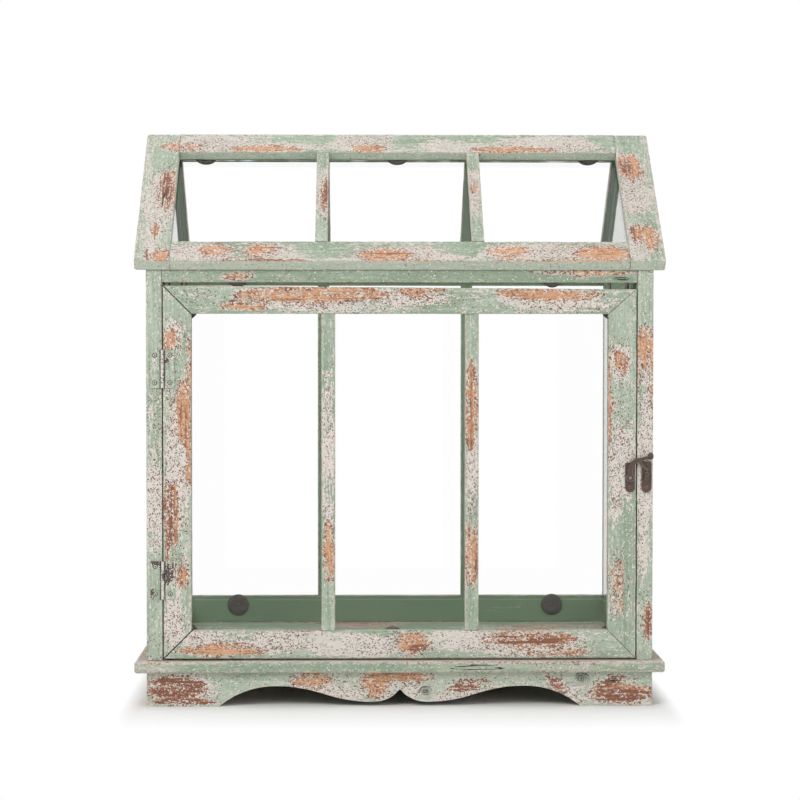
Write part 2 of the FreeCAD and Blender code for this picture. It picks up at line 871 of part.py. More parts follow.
def all_pieces():
    """Every sub-part by name."""
    apron = long_apron()
    front_post = post(front_post_width, False)
    rear_post = post(rear_post_width, True)
    rafter = gable_rafter()
    stile = roof_stile()
    low_rail = roof_rail(0, roof_bottom_member)
    high_rail = roof_top_rail()
    case_clips, case_clip_screws = clips_and_screws(
        roof_clip_spots() + side_clip_spots() + rear_clip_spots()
    )
    door_clips, door_clip_screws = clips_and_screws(door_clip_spots())
    return {
        "base_board": base_board(),
        "front_apron": apron,
        "rear_apron": mirror_y(apron),
        "right_apron": side_apron(),
        "left_apron": mirror_x(side_apron()),
        "front_right_post": front_post,
        "front_left_post": mirror_x(front_post),
        "rear_right_post": rear_post,
        "rear_left_post": mirror_x(rear_post),
        "front_top_rail": top_rail(front_opening, front_rail, front_rail_underside),
        "rear_top_rail": rear_top_rail(),
        "rear_bottom_rail": rear_bottom_rail(),
        "rear_muntins": rear_muntins(),
        "rear_glass": rear_glass(),
        "right_bottom_rail": side_bottom_rail(),
        "left_bottom_rail": mirror_x(side_bottom_rail()),
        "right_top_rail": side_top_rail(),
        "left_top_rail": mirror_x(side_top_rail()),
        "right_muntin": side_muntin(),
        "left_muntin": mirror_x(side_muntin()),
        "right_glass": side_glass(),
        "left_glass": mirror_x(side_glass()),
        "right_front_rafter": rafter,
        "right_rear_rafter": mirror_y(rafter),
        "left_front_rafter": mirror_x(rafter),
        "left_rear_rafter": mirror_x(mirror_y(rafter)),
        "gable_glass": gable_glass(),
        "front_roof_right_stile": stile,
        "front_roof_left_stile": mirror_x(stile),
        "front_roof_bottom_rail": low_rail,
        "front_roof_top_rail": high_rail,
        "front_roof_muntins": roof_muntins(),
        "front_roof_glass": roof_glass(),
        "rear_roof_right_stile": mirror_y(stile),
        "rear_roof_left_stile": mirror_x(mirror_y(stile)),
        "rear_roof_bottom_rail": mirror_y(low_rail),
        "rear_roof_top_rail": mirror_y(high_rail),
        "rear_roof_muntins": mirror_y(roof_muntins()),
        "rear_roof_glass": mirror_y(roof_glass()),
        "case_glass_clips": case_clips,
        "case_clip_screws": case_clip_screws,
        "upper_hinge_post_leaf": hinge_leaf_solid(upper_hinge, -1),
        "lower_hinge_post_leaf": hinge_leaf_solid(lower_hinge, -1),
        "hinge_pins": hinge_pins(),
        "catch_plate": latch_catch(),
        "case_fitting_screws": small_screws(case_screw_places()),
        "door_bottom_rail": door_frame_piece(0),
        "door_right_stile": door_frame_piece(1),
        "door_top_rail": door_frame_piece(2),
        "door_left_stile": door_frame_piece(3),
        "door_muntins": door_muntins(),
        "door_glass": door_glass(),
        "door_glass_clips": door_clips,
        "door_clip_screws": door_clip_screws,
        "upper_hinge_door_leaf": hinge_leaf_solid(upper_hinge, 1),
        "lower_hinge_door_leaf": hinge_leaf_solid(lower_hinge, 1),
        "door_fitting_screws": small_screws(door_screw_places()),
        "latch_plate": latch_door_plate(),
        "latch_rivet": latch_rivet(),
        "latch_arm": latch_arm(),
    }


os.makedirs("parts", exist_ok=True)
for name, shape in all_pieces().items():
    shape.exportStep(os.path.join("parts", name + ".step"))
    print(name, len(shape.Solids), "solids,", round(shape.Volume), "mm3, valid", shape.isValid())
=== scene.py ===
# %% [markdown]
# # A wooden mini greenhouse in worn paint
# The construction comes ready made from the frame: every board, pane, hinge and screw at its
# real size and place. This lesson gives each of them its finish. The wood has two coats of old
# paint, sage green and chalky white, worn through to orange-brown wood in patches.
# Everything is in metres, X to the right, Y away from the viewer and Z up.

# %% Load the frame
import json
import math

import bmesh
import bpy
import numpy as np
from mathutils import Euler, Matrix, Vector, noise
from mathutils.kdtree import KDTree

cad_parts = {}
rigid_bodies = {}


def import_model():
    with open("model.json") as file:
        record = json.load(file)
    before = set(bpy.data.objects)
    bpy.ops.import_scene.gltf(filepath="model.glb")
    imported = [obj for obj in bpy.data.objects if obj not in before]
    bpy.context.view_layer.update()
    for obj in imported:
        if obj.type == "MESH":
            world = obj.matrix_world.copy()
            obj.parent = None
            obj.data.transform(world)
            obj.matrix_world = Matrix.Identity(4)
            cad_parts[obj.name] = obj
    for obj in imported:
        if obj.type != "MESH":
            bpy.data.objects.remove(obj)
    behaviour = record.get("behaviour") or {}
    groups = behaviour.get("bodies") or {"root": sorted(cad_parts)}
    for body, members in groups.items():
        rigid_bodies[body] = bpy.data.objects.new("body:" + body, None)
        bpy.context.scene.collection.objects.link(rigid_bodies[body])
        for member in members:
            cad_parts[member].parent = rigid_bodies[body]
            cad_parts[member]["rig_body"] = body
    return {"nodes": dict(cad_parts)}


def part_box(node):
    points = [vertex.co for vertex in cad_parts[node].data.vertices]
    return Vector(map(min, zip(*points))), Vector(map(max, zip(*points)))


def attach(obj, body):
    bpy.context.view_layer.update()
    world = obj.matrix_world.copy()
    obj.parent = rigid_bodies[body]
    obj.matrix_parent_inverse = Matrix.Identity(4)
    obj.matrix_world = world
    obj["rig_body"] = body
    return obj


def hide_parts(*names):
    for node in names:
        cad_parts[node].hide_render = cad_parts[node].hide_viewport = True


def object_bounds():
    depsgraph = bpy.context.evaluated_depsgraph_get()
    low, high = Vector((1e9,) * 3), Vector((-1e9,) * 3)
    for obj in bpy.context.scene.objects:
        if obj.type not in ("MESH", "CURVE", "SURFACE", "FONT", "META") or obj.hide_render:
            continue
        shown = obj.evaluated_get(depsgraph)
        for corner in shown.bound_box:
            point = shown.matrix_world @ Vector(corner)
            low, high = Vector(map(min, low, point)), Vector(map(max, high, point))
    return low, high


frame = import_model()
CAD_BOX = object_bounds()
BODY_OF = {name: node["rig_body"] for name, node in frame["nodes"].items()}
scene = bpy.context.scene
print("nodes:", len(frame["nodes"]), "box:", [round(v, 4) for v in CAD_BOX[1] - CAD_BOX[0]])

# %% [markdown]
# ## Camera
# The photograph was taken from well back with a long lens, a little above the door's latch and
# slightly to the left. A long lens keeps upright edges upright, so the camera only has to be
# put at the right place and tilted down by two degrees. The lens is set from its focal length
# in picture widths, which is the same at any resolution.

# %% Make the camera
CAMERA_PLACE = Vector((-0.0443, -2.6166, 0.3875))
CAMERA_TILT = math.radians(-1.83)
CAMERA_TURN = 0.018              # radians to the right
CAMERA_ROLL = -0.0005            # radians
FOCAL_IN_WIDTHS = 3.0521         # focal length divided by the picture's width
SENSOR = 36.0

camera_data = bpy.data.cameras.new("camera")
camera_data.sensor_width = SENSOR
camera_data.lens = FOCAL_IN_WIDTHS * SENSOR
camera = bpy.data.objects.new("camera", camera_data)
camera.location = CAMERA_PLACE
camera.rotation_euler = Euler((math.pi / 2 + CAMERA_TILT, CAMERA_ROLL, -CAMERA_TURN))
scene.collection.objects.link(camera)
scene.camera = camera
print("lens:", round(camera_data.lens, 1), "mm")

# %% [markdown]
# ## Short calls for node trees
# Materials and Geometry Nodes are both trees of nodes. Written out in full, each node takes
# three or four lines, so one small class adds a node, sets it and links its inputs at once.
# An input given as another node's socket becomes a link, and anything else becomes its value.

# %% The node helper
class Nodes:
    def __init__(self, tree):
        self.tree = tree
        tree.nodes.clear()

    def add(self, kind, inputs=None, **settings):
        node = self.tree.nodes.new(kind)
        for key, value in settings.items():
            setattr(node, key, value)
        for key, value in (inputs or {}).items():
            self.put(value, node.inputs[key])
        return node

    def put(self, value, socket):
        if isinstance(value, bpy.types.NodeSocket):
            self.tree.links.new(value, socket)
        else:
            socket.default_value = value

    def first(self, kind, inputs=None, **settings):
        """Adds a node and returns its first output."""
        return self.add(kind, inputs, **settings).outputs[0]

    def math(self, operation, first, second=0.0, third=0.0):
        return self.first("ShaderNodeMath", {0: first, 1: second, 2: third}, operation=operation)

    def vector_math(self, operation, first, second=(0, 0, 0)):
        return self.first("ShaderNodeVectorMath", {0: first, 1: second}, operation=operation)


def srgb(red, green, blue):
    """A colour as a picture editor shows it, 0 to 255, in Blender's linear values."""
    def linear(value):
        value = value / 255
        return value / 12.92 if value <= 0.04045 else ((value + 0.055) / 1.055) ** 2.4
    return (linear(red), linear(green), linear(blue), 1.0)


# %% [markdown]
# ## Floor, sky and lamps
# The object stands on a white sweep. The floor is a real white surface near the object, so it
# catches the soft shadow, and further out it fades into plain white light that only the camera,
# mirrors and glass see. The sky does the same: white to look at, softer as a lamp. One large
# lamp from the front left gives the frames a lit and a shaded side, a weaker one fills the
# right, and a third stands above.

# %% Make the sky
SKY_LIGHT = 0.55
WHITE = (1, 1, 1, 1)


def seen_rays(nodes):
    """1 for rays from the camera, mirrors and glass, and 0 for light on the object."""
    path = nodes.add("ShaderNodeLightPath")
    seen = nodes.math("MAXIMUM", path.outputs["Is Camera Ray"], path.outputs["Is Glossy Ray"])
    return nodes.math("MAXIMUM", seen, path.outputs["Is Transmission Ray"])


def white_sky():
    world = bpy.data.worlds.new("sky")
    world.use_nodes = True
    nodes = Nodes(world.node_tree)
    dim = nodes.first("ShaderNodeBackground", {"Color": WHITE, "Strength": SKY_LIGHT})
    white = nodes.first("ShaderNodeBackground", {"Color": WHITE, "Strength": 1.0})
    mix = nodes.first("ShaderNodeMixShader", {0: seen_rays(nodes), 1: dim, 2: white})
    nodes.add("ShaderNodeOutputWorld", {0: mix})
    scene.world = world


white_sky()
scene.view_settings.view_transform = "Standard"
print("sky light:", SKY_LIGHT)

# %% Make the floor
FLOOR_COLOUR = (0.87, 0.87, 0.86, 1.0)
FOOTPRINT = Vector((0.262, 0.172, 0.0))      # half the size of what stands on the floor
FADE_REACH = Vector((0.018, 0.130, 1.0))     # the floor fades to white over this distance
FADE_POWER = 1.2
FLOOR_HALF = 30.0


def floor_material():
    material = bpy.data.materials.new("sweep")
    material.use_nodes = True
    nodes = Nodes(material.node_tree)
    place = nodes.add("ShaderNodeTexCoord").outputs["Object"]
    outside = nodes.vector_math("SUBTRACT", nodes.vector_math("ABSOLUTE", place), FOOTPRINT)
    reach = nodes.vector_math("DIVIDE", nodes.vector_math("MAXIMUM", outside), FADE_REACH)
    away = nodes.add("ShaderNodeVectorMath", {0: reach}, operation="LENGTH").outputs["Value"]
    fade = nodes.math("MINIMUM", nodes.math("POWER", away, FADE_POWER), 1.0)
    paper = nodes.first("ShaderNodeBsdfDiffuse", {"Color": FLOOR_COLOUR})
    light = nodes.first("ShaderNodeEmission", {"Color": WHITE, "Strength": 1.0})
    factor = nodes.math("MULTIPLY", seen_rays(nodes), fade)
    mix = nodes.first("ShaderNodeMixShader", {0: factor, 1: paper, 2: light})
    nodes.add("ShaderNodeOutputMaterial", {0: mix})
    return material


sweep_mesh = bpy.data.meshes.new("sweep")
corners = [(-1, -1), (1, -1), (1, 1), (-1, 1)]
sweep_mesh.from_pydata([(x * FLOOR_HALF, y * FLOOR_HALF, 0) for x, y in corners], [], [(0, 1, 2, 3)])
sweep_mesh.materials.append(floor_material())
sweep = bpy.data.objects.new("sweep", sweep_mesh)
scene.collection.objects.link(sweep)
print("floor fades over", list(FADE_REACH)[:2], "m")

# %% Hang the lamps
LAMP_TARGET = Vector((0, 0, 0.3))
LAMPS = {                        # place, width and height, and watts
    "key": (Vector((-1.3, -2.1, 1.9)), (1.4, 1.2), 36),
    "fill": (Vector((1.7, -2.2, 0.9)), (1.4, 1.4), 11),
    "top": (Vector((0, 0.1, 2.2)), (2.0, 1.6), 12),
}
for name, (place, size, power) in LAMPS.items():
    data = bpy.data.lights.new(name, "AREA")
    data.shape = "RECTANGLE"
    data.size, data.size_y = size
    data.energy = power
    lamp = bpy.data.objects.new(name, data)
    lamp.location = place
    lamp.rotation_euler = (LAMP_TARGET - place).to_track_quat("-Z", "Y").to_euler()
    scene.collection.objects.link(lamp)
print("lamps:", len(LAMPS))

# %% [markdown]
# ## Six ways of looking at a board
# A board's paint and grain follow the board, not the room. So each board is worked on lying in
# a face frame of its own: to the right, up, and out of the wall that it belongs to, as seen
# from outside. The roof's frames lie on the two slopes. Each frame is a plain rotation, so
# nothing turns inside out.

# %% The face frames
ROOF_PITCH = math.radians(38.8)
EAVE = -CAD_BOX[0].y                                       # half the depth over the eaves
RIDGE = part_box("front_roof_top_rail")[1].z
EAVE_HEIGHT = RIDGE - EAVE * math.tan(ROOF_PITCH)
SLOPE_LENGTH = EAVE / math.cos(ROOF_PITCH)


def face_frame(right, up, out, origin=(0, 0, 0)):
    """The matrix that takes a point of the object into a face frame."""
    turn = Matrix((right, up, out)).to_4x4()
    return turn @ Matrix.Translation(-Vector(origin))


rise = Vector((0, math.cos(ROOF_PITCH), math.sin(ROOF_PITCH)))
FACES = {
    "front": face_frame((1, 0, 0), (0, 0, 1), (0, -1, 0)),
    "rear": face_frame((-1, 0, 0), (0, 0, 1), (0, 1, 0)),
    "right": face_frame((0, 1, 0), (0, 0, 1), (1, 0, 0)),
    "left": face_frame((0, -1, 0), (0, 0, 1), (-1, 0, 0)),
    "front_roof": face_frame((1, 0, 0), rise, (0, -rise.z, rise.y), (0, -EAVE, EAVE_HEIGHT)),
    "rear_roof": face_frame(
        (-1, 0, 0), (0, -rise.y, rise.z), (0, rise.z, rise.y), (0, EAVE, EAVE_HEIGHT)
    ),
}
print("slope:", round(SLOPE_LENGTH * 1000, 1), "mm")

# %% [markdown]
# ## Where the paint has gone
# On the real piece somebody sanded the paint through by hand, so the bare patches are where
# the photograph shows them, not where a formula would put them. Each patch is an ellipse on the
# front of one board: its middle, right and up, then half its width and half its height, in
# millimetres, and last how many degrees it leans, if it does. `BARE` is worn to the wood,
# `SPECKLED` is where only small chips are gone, and `CHALK` and `GREEN` say which of the two
# coats is on top. `SPLIT` is cracked along the grain, and in `DARK` the bare wood is brown.
# The back, the sides and the inside aren't in the photograph, and there noise chooses.

# %% Patches of bare wood
BARE = {
    "front_apron": [
        (-225, 18.5, 27, 13), (-218, 4.5, 34, 2.5), (-88, 26.5, 19, 7), (-25, 23.5, 12, 13),
        (6, 30.5, 27, 6), (67, 20.5, 19, 5, 14), (160, 18.5, 14, 5, -50), (211, 24.5, 19, 3.5, 20),
        (224, 12.5, 32, 9),
    ],
    "door_bottom_rail": [
        (-180, 56.5, 42, 6), (14, 64.5, 17, 11), (130, 67.5, 46, 8), (160, 52.5, 37, 4),
    ],
    "door_top_rail": [
        (-85, 415.5, 78, 8), (-155, 403.5, 24, 5), (22, 417.5, 24, 5), (150, 415.5, 56, 6, -1),
    ],
    "front_top_rail": [(182, 437.5, 53, 2.5), (-163, 433.5, 14, 2)],
    "door_left_stile": [
        (-231, 370.5, 7, 9), (-212, 301.5, 3.5, 72), (-219, 296.5, 7, 32), (-213, 235.5, 3, 9),
        (-234, 185.5, 5, 42), (-227, 191.5, 3, 40), (-221, 133.5, 7, 14),
    ],
    "door_right_stile": [
        (222, 347.5, 5, 11, 10), (210.5, 301.5, 2.5, 55), (221, 126.5, 5, 20), (222, 100.5, 4, 6),
    ],
    "front_right_post": [
        (247, 361.5, 9, 22), (241, 336.5, 2, 22), (254.5, 326.5, 2, 42), (251, 85.5, 3.5, 18),
    ],
    "door_muntins": [(-71, 157.5, 6, 31), (71, 304.5, 6, 46), (71, 153.5, 6, 32)],
    "front_roof_bottom_rail": [
        (-187, 18, 18, 8), (-141, 18, 16, 8, 10), (-16, 11, 27, 9), (109, 15, 24, 8),
        (204, 13, 27, 11), (-138, 0, 46, 3), (165, 1, 70, 2.5), (20, 0, 40, 1.5),
    ],
    "front_roof_left_stile": [
        (-239, 121, 8, 34), (-233, 199, 15, 7), (-248, 50, 2.5, 9), (-241, 9, 10, 10),
    ],
    "front_roof_right_stile": [(243, 163, 12, 22), (250, 44, 12, 14, 20), (254, 30, 5, 16)],
    "front_roof_top_rail": [
        (-222, 197, 13, 6), (-138, 195, 36, 6), (-33, 196, 19, 5), (122, 195, 48, 5),
    ],
    "front_roof_muntins": [(-77, 112, 3.5, 24), (78, 125, 3, 5)],
    "upper_hinge_door_leaf": [(-234.2, 349, 2.5, 3)],
    "lower_hinge_door_leaf": [(-233.2, 133, 4.5, 12, -12)],
    "lower_hinge_post_leaf": [(-248, 145.5, 6, 3), (-250, 115, 2.5, 4)],
}
print("bare patches:", sum(map(len, BARE.values())))

# %% Patches of small chips
SPECKLED = {
    "front_apron": [
        (-222, 15.5, 42, 18), (-80, 21.5, 36, 14), (-8, 19.5, 40, 16), (70, 16.5, 42, 10, 10),
        (160, 19.5, 26, 12, -40), (215, 15.5, 44, 16),
    ],
    "door_bottom_rail": [
        (-124, 65.5, 34, 12), (-22, 65.5, 30, 12), (-200, 67.5, 34, 10), (130, 61.5, 68, 13),
    ],
    "door_top_rail": [(-204, 414.5, 18, 7), (155, 404.5, 56, 9), (-60, 409.5, 130, 12)],
    "door_left_stile": [(-226, 236.5, 14, 110), (-226, 371.5, 12, 22), (-226, 81.5, 10, 26)],
    "door_right_stile": [(221, 256.5, 13, 60), (221, 346.5, 11, 26), (219, 121.5, 11, 36)],
    "front_left_post": [(-246, 216.5, 8, 60), (-246, 291.5, 8, 30), (-246, 61.5, 6, 14)],
    "front_right_post": [(247, 271.5, 7, 70), (247, 91.5, 7, 30), (243, 181.5, 3, 60)],
    "door_muntins": [(-72, 297.5, 7, 42), (-72, 166.5, 8, 44), (72, 236.5, 7, 120)],
    "front_roof_left_stile": [(-243, 110, 14, 66)],
    "front_roof_right_stile": [(244, 130, 14, 60), (250, 40, 14, 30)],
    "front_roof_top_rail": [(-30, 206, 26, 14), (185, 196, 40, 7), (-190, 200, 40, 12)],
    "front_roof_bottom_rail": [(-170, 16, 60, 14), (190, 14, 60, 14), (-10, 12, 50, 12)],
    "front_roof_muntins": [(-78, 120, 6, 50), (78, 120, 6, 40)],
}
print("speckled patches:", sum(map(len, SPECKLED.values())))

# %% Which coat is on top
CHALK = {
    "front_apron": [
        (-205, 21.5, 14, 16), (-70, 16.5, 44, 9, -12), (-2, 13.5, 36, 10), (60, 11.5, 40, 7, 12),
        (165, 15.5, 26, 8, -40), (215, 7.5, 50, 6),
    ],
    "base_board": [(190, 41.5, 60, 3)],
    "door_bottom_rail": [
        (-110, 67.5, 60, 10), (-50, 61.5, 60, 14), (60, 67.5, 40, 12), (130, 61.5, 80, 12),
        (-200, 67.5, 30, 8),
    ],
    "door_top_rail": [(20, 407.5, 44, 10), (160, 407.5, 62, 10), (-90, 405.5, 60, 7)],
    "door_left_stile": [(-228, 371.5, 11, 20), (-224, 236.5, 14, 60), (-226, 91.5, 12, 46)],
    "door_right_stile": [(220, 346.5, 12, 22), (222, 246.5, 15, 50), (218, 196.5, 8, 18)],
    "front_left_post": [(-246, 206.5, 9, 58), (-250, 301.5, 3, 20), (-243, 391.5, 2, 40)],
    "front_right_post": [(247, 236.5, 9, 110), (243, 381.5, 3, 30), (245, 151.5, 6, 30)],
    "door_muntins": [(-72, 271.5, 8, 75), (-72, 201.5, 8, 30), (72, 241.5, 8, 40)],
    "front_roof_left_stile": [(-246, 95, 16, 58), (-250, 30, 8, 20)],
    "front_roof_right_stile": [(246, 110, 16, 38), (240, 20, 10, 18)],
    "front_roof_top_rail": [
        (-200, 205, 44, 16), (-140, 198, 60, 10), (-40, 205, 36, 16), (60, 200, 40, 14),
        (160, 204, 60, 16), (110, 192, 90, 6),
    ],
    "front_roof_bottom_rail": [
        (-200, 14, 34, 14), (-120, 12, 30, 12), (20, 12, 50, 12), (130, 16, 70, 14), (0, 3, 230, 3),
    ],
    "front_roof_muntins": [(-78, 120, 8, 44), (78, 120, 8, 46)],
}
GREEN = {
    "front_apron": [(-150, 29.5, 50, 10), (80, 31.5, 60, 6), (-250, 13.5, 6, 14), (185, 31.5, 70, 6)],
    "base_board": [(0, 41.5, 240, 8)],
    "door_bottom_rail": [
        (-215, 53.5, 14, 6), (-95, 51.5, 26, 5), (50, 53.5, 44, 5), (215, 59.5, 30, 14),
    ],
    "door_top_rail": [(-200, 401.5, 40, 8), (60, 401.5, 60, 7), (-185, 413.5, 12, 8)],
    "front_top_rail": [(0, 431.5, 250, 10)],
    "door_left_stile": [(-222, 406.5, 16, 20), (-224, 331.5, 9, 16), (-217, 96.5, 5, 34)],
    "door_right_stile": [
        (222, 386.5, 16, 26), (224, 301.5, 12, 20), (226, 171.5, 10, 26), (222, 67.5, 16, 20),
    ],
    "front_left_post": [(-246, 371.5, 9, 60), (-246, 96.5, 9, 46)],
    "front_right_post": [(247, 406.5, 9, 30), (250, 126.5, 4, 16), (247, 61.5, 9, 16)],
    "door_muntins": [(-72, 371.5, 8, 34), (-72, 101.5, 8, 30), (72, 371.5, 8, 22), (72, 96.5, 8, 28)],
    "front_roof_left_stile": [(-244, 180, 14, 30), (-232, 50, 9, 22)],
    "front_roof_right_stile": [(246, 205, 14, 18), (247, 72, 16, 12)],
    "front_roof_top_rail": [
        (-100, 212, 40, 8), (10, 208, 14, 12), (76, 212, 30, 8), (225, 212, 20, 12),
    ],
    "front_roof_bottom_rail": [(-80, 16, 32, 14), (60, 20, 30, 12)],
    "front_roof_muntins": [(-78, 55, 8, 20), (-78, 175, 8, 18), (78, 50, 8, 16), (78, 172, 8, 16)],
}
print("coats:", sum(map(len, CHALK.values())), "chalk,", sum(map(len, GREEN.values())), "green")

# %% Cracks along the grain, knots and brown wood
SPLIT = {
    "base_board": [(78, 40, 28, 3.5)],
    "front_top_rail": [(-160, 429, 10, 1.5), (222, 431, 11, 2)],
    "front_roof_left_stile": [(-240, 105, 5, 20)],
    "front_apron": [(216, 27, 6, 2), (26, 15, 7, 6), (184, 29, 8, 5)],
}
KNOTS = {                        # middle and radius
    "front_apron": [(26, 15, 6), (183, 28, 5)],
}
DARK = {
    "front_apron": [
        (-224, 20, 30, 15), (-218, 4, 36, 5), (66, 21, 21, 9, 14), (162, 19, 19, 9, -40),
        (222, 10, 36, 10), (212, 25, 21, 6, 20),
    ],
    "door_left_stile": [(-232, 189, 7, 44)],
    "door_bottom_rail": [(130, 67.5, 44, 8), (20, 58, 14, 8)],
    "front_roof_left_stile": [(-240, 125, 9, 30)],
    "front_roof_muntins": [(-76, 112, 5, 28)],
    "front_roof_bottom_rail": [(-140, 0, 60, 4)],
    "front_roof_right_stile": [(240, 163, 7, 20)],
    "front_right_post": [(252, 85, 4, 20)],
}
print("knots:", sum(map(len, KNOTS.values())))

# %% [markdown]
# ## Cutting a board fine
# The frame's boards have few, large faces. To round off and dent the edges, and to hold the
# paint's patches, a copy of each is cut into cells of a few millimetres. The copy's loose
# triangles are merged and joined back into whole faces first. A narrow border is then inset
# round each broad face, so that wear can be held to the last millimetre and a half along its
# edges, and flat cuts divide the rest. A subdivision surface would have rounded everything off.

# %% Merge and slice a mesh
WELD = 1e-6                      # points this near are one
ON_CUT = 1e-7                    # points this near a cut lie on it


def merged_copy(mesh, to_face):
    work = bmesh.new()
    work.from_mesh(mesh)
    work.transform(to_face)
    bmesh.ops.remove_doubles(work, verts=work.verts, dist=WELD)
    return work


def places_of(points):
    return np.array([point.co for point in points])


def box_of(work):
    places = places_of(work.verts)
    return places.min(0), places.max(0)


def slice_evenly(work, steps):
    """Cuts a bmesh by flat planes along each of its three axes."""
    low, high = box_of(work)
    for axis, step in enumerate(steps):
        count = int((high[axis] - low[axis]) / step)
        normal = Vector([float(i == axis) for i in range(3)])
        for number in range(1, count + 1):
            at = normal * (low[axis] + (high[axis] - low[axis]) * number / (count + 1))
            everything = work.verts[:] + work.edges[:] + work.faces[:]
            bmesh.ops.bisect_plane(work, geom=everything, dist=ON_CUT, plane_co=at, plane_no=normal)


# %% Cut a board into small cells
BORDER = 0.0015
NARROW = 3.0                     # a face under this many borders wide gets none
STRAY = 4.0                      # no corner of a border may move by more borders than this
FLAT = math.radians(0.5)         # faces that meet at less than this are one


def inset_border(work):
    """A narrow border inside every broad face, with runaway corners pulled back."""
    broad = [f for f in work.faces if 2 * f.calc_area() > NARROW * BORDER * f.calc_perimeter()]
    before = set(work.verts)
    bmesh.ops.inset_individual(work, faces=broad, thickness=BORDER, use_even_offset=True)
    for vert in work.verts:
        if vert in before:
            continue
        for edge in vert.link_edges:
            corner = edge.other_vert(vert)
            if corner in before and edge.calc_length() > STRAY * BORDER:
                vert.co = corner.co + (vert.co - corner.co).normalized() * BORDER


def cut_fine(mesh, to_face, steps):
    """A merged copy of a board in a face frame, with a border and cut into cells: a bmesh."""
    work = merged_copy(mesh, to_face)
    bmesh.ops.dissolve_limit(work, angle_limit=FLAT, verts=work.verts, edges=work.edges)
    low, high = box_of(work)
    inset_border(work)
    bmesh.ops.triangulate(work, faces=[f for f in work.faces if len(f.verts) > 4])
    for vert in work.verts:
        vert.co = np.clip(vert.co, low, high)
    slice_evenly(work, steps)
    return work


# %% [markdown]
# ## Weathering a board
# Ten values are stored on the points of each board, and one material reads them all. `grain`
# is the place along, across and through the board, so that streaks follow the wood; round a
# knot it turns into rings. `edge` is 1 on a worn edge and falls to 0 within the border, and
# `seam` is the same at a joint, where the paint has cracked and dirt has gathered; on a hinge
# it carries painted shade beside the barrel and a painted shadow round each screw. `inside` is
# 1 on faces that look into the case, where the green is darkened as painted shade, and the
# tone is painted light, which makes a board's paint paler where it should look lit and darker
# where it should look shaded. The rest say
# how far a point lies inside the patches above: `bare`, `chips` and `split` in millimetres, so
# that a small patch is as ragged as a large one, and `chalk` and `dark` as shares.

# %% Measure patches and edges
FAR = 30.0                       # millimetres outside any patch
CONVEX = math.radians(8)         # an edge sharper than this wears
END_FACE = 0.6                   # how squarely the end of a board has to face along it


def depth_in(patches, across, up):
    """How deep inside the nearest patch each point lies, in millimetres."""
    best = np.full(len(across), -FAR)
    for x, z, half_x, half_z, *lean in patches:
        turn = math.radians(lean[0] if lean else 0)
        right = (across - x) * math.cos(turn) + (up - z) * math.sin(turn)
        above = (up - z) * math.cos(turn) - (across - x) * math.sin(turn)
        radius = np.maximum(np.hypot(right / half_x, above / half_z), 1e-6)
        inside = (1 - radius) * min(half_x, half_z)
        outside = np.hypot(right, above) * (1 / radius - 1)
        best = np.maximum(best, np.where(radius < 1, inside, outside))
    return best


def closeness(work, chosen, border):
    """1 at the chosen points of a cut mesh, falling to 0 within a border."""
    if not chosen:
        return np.zeros(len(work.verts))
    tree = KDTree(len(chosen))
    for number, vert in enumerate(sorted(chosen, key=lambda v: v.index)):
        tree.insert(vert.co, number)
    tree.balance()
    return np.array([max(0.0, 1 - tree.find(v.co)[2] / border) for v in work.verts])


def edges_and_seams(work, long_axis, jointed, border=BORDER, convex=CONVEX):
    """How near each point is to a worn edge, and to an edge at the joint of two boards."""
    worn, seams = set(), set()
    for edge in work.edges:
        if len(edge.link_faces) == 2 and edge.calc_face_angle_signed() > convex:
            end = any(abs(face.normal[long_axis]) > END_FACE for face in edge.link_faces)
            group = seams if end and jointed else worn
            group.update(edge.verts)
    return closeness(work, worn, border), closeness(work, seams, border)


# %% [markdown]
# Which way a face looks decides much of its paint. Nobody sanded the inside of the case, and
# its green is darkened there as painted shade, more so under the roof. The narrow sides of
# the roof's bars and stiles and the rim of the floor came out nearly white, and the roof's
# faces over the eaves stayed green. Each board's tone is painted light as well: paler where a
# face should look lit, and deeper green and duller white where it should look shaded.

# %% Tell the faces apart
INNER_WIDTH = 0.474
INNER_DEPTH = 0.294
UP_FACE = 0.5                    # how much of a normal has to point one way
SIDE_FACE = 0.6
SQUARE_FACE = 0.9
# Painted light per board: the apron is painted paler against the shade of the floor board's overhang,
# the rail under the eaves and the front of the floor board are painted darker as shade, and the posts
# a little paler.
PAINTED_LIGHT_TONES = {                        # paler green above 0, deeper green and duller white below
    "front_apron": 1.0, "front_top_rail": -1.0, "base_board": -0.6,
    "front_left_post": 0.3, "front_right_post": 0.3,
}


def indoors(place):
    return (np.abs(place[:, 0]) < INNER_WIDTH / 2) & (np.abs(place[:, 1]) < INNER_DEPTH / 2)


def inside_and_painted_shade(name, normal, place, object_normal):
    """1 on faces that look into the case, 2 under the roof, and less on the floor: how much painted
    shade darkens their green.
    """
    inside = np.clip(-2 * normal[:, 2], 0, 1)
    if name.endswith("_rafter"):
        inward = -np.sign(place[:, 0]) * object_normal[:, 0]
        return 2 * np.maximum(inside, np.clip(2 * inward, 0, 1))
    if name.startswith("rear_roof"):
        return 2 * inside
    if name == "base_board":
        return 0.4 * indoors(place) * (object_normal[:, 2] > UP_FACE)
    return inside


def chalk_faces(name, normal, place, object_normal):
    """1 on the faces that the photograph shows nearly white, and -1 on green ones."""
    if name == "base_board":
        return (object_normal[:, 2] > UP_FACE) & ~indoors(place)
    if "_roof_" not in name:
        return np.zeros(len(place))
    green = 1.0 * (np.abs(object_normal[:, 1]) > SQUARE_FACE)
    if name.endswith(("stile", "muntins")):
        return 1.0 * (np.abs(normal[:, 0]) > SIDE_FACE) - green
    return -green - 0.6 * (np.abs(normal[:, 1]) > SQUARE_FACE)


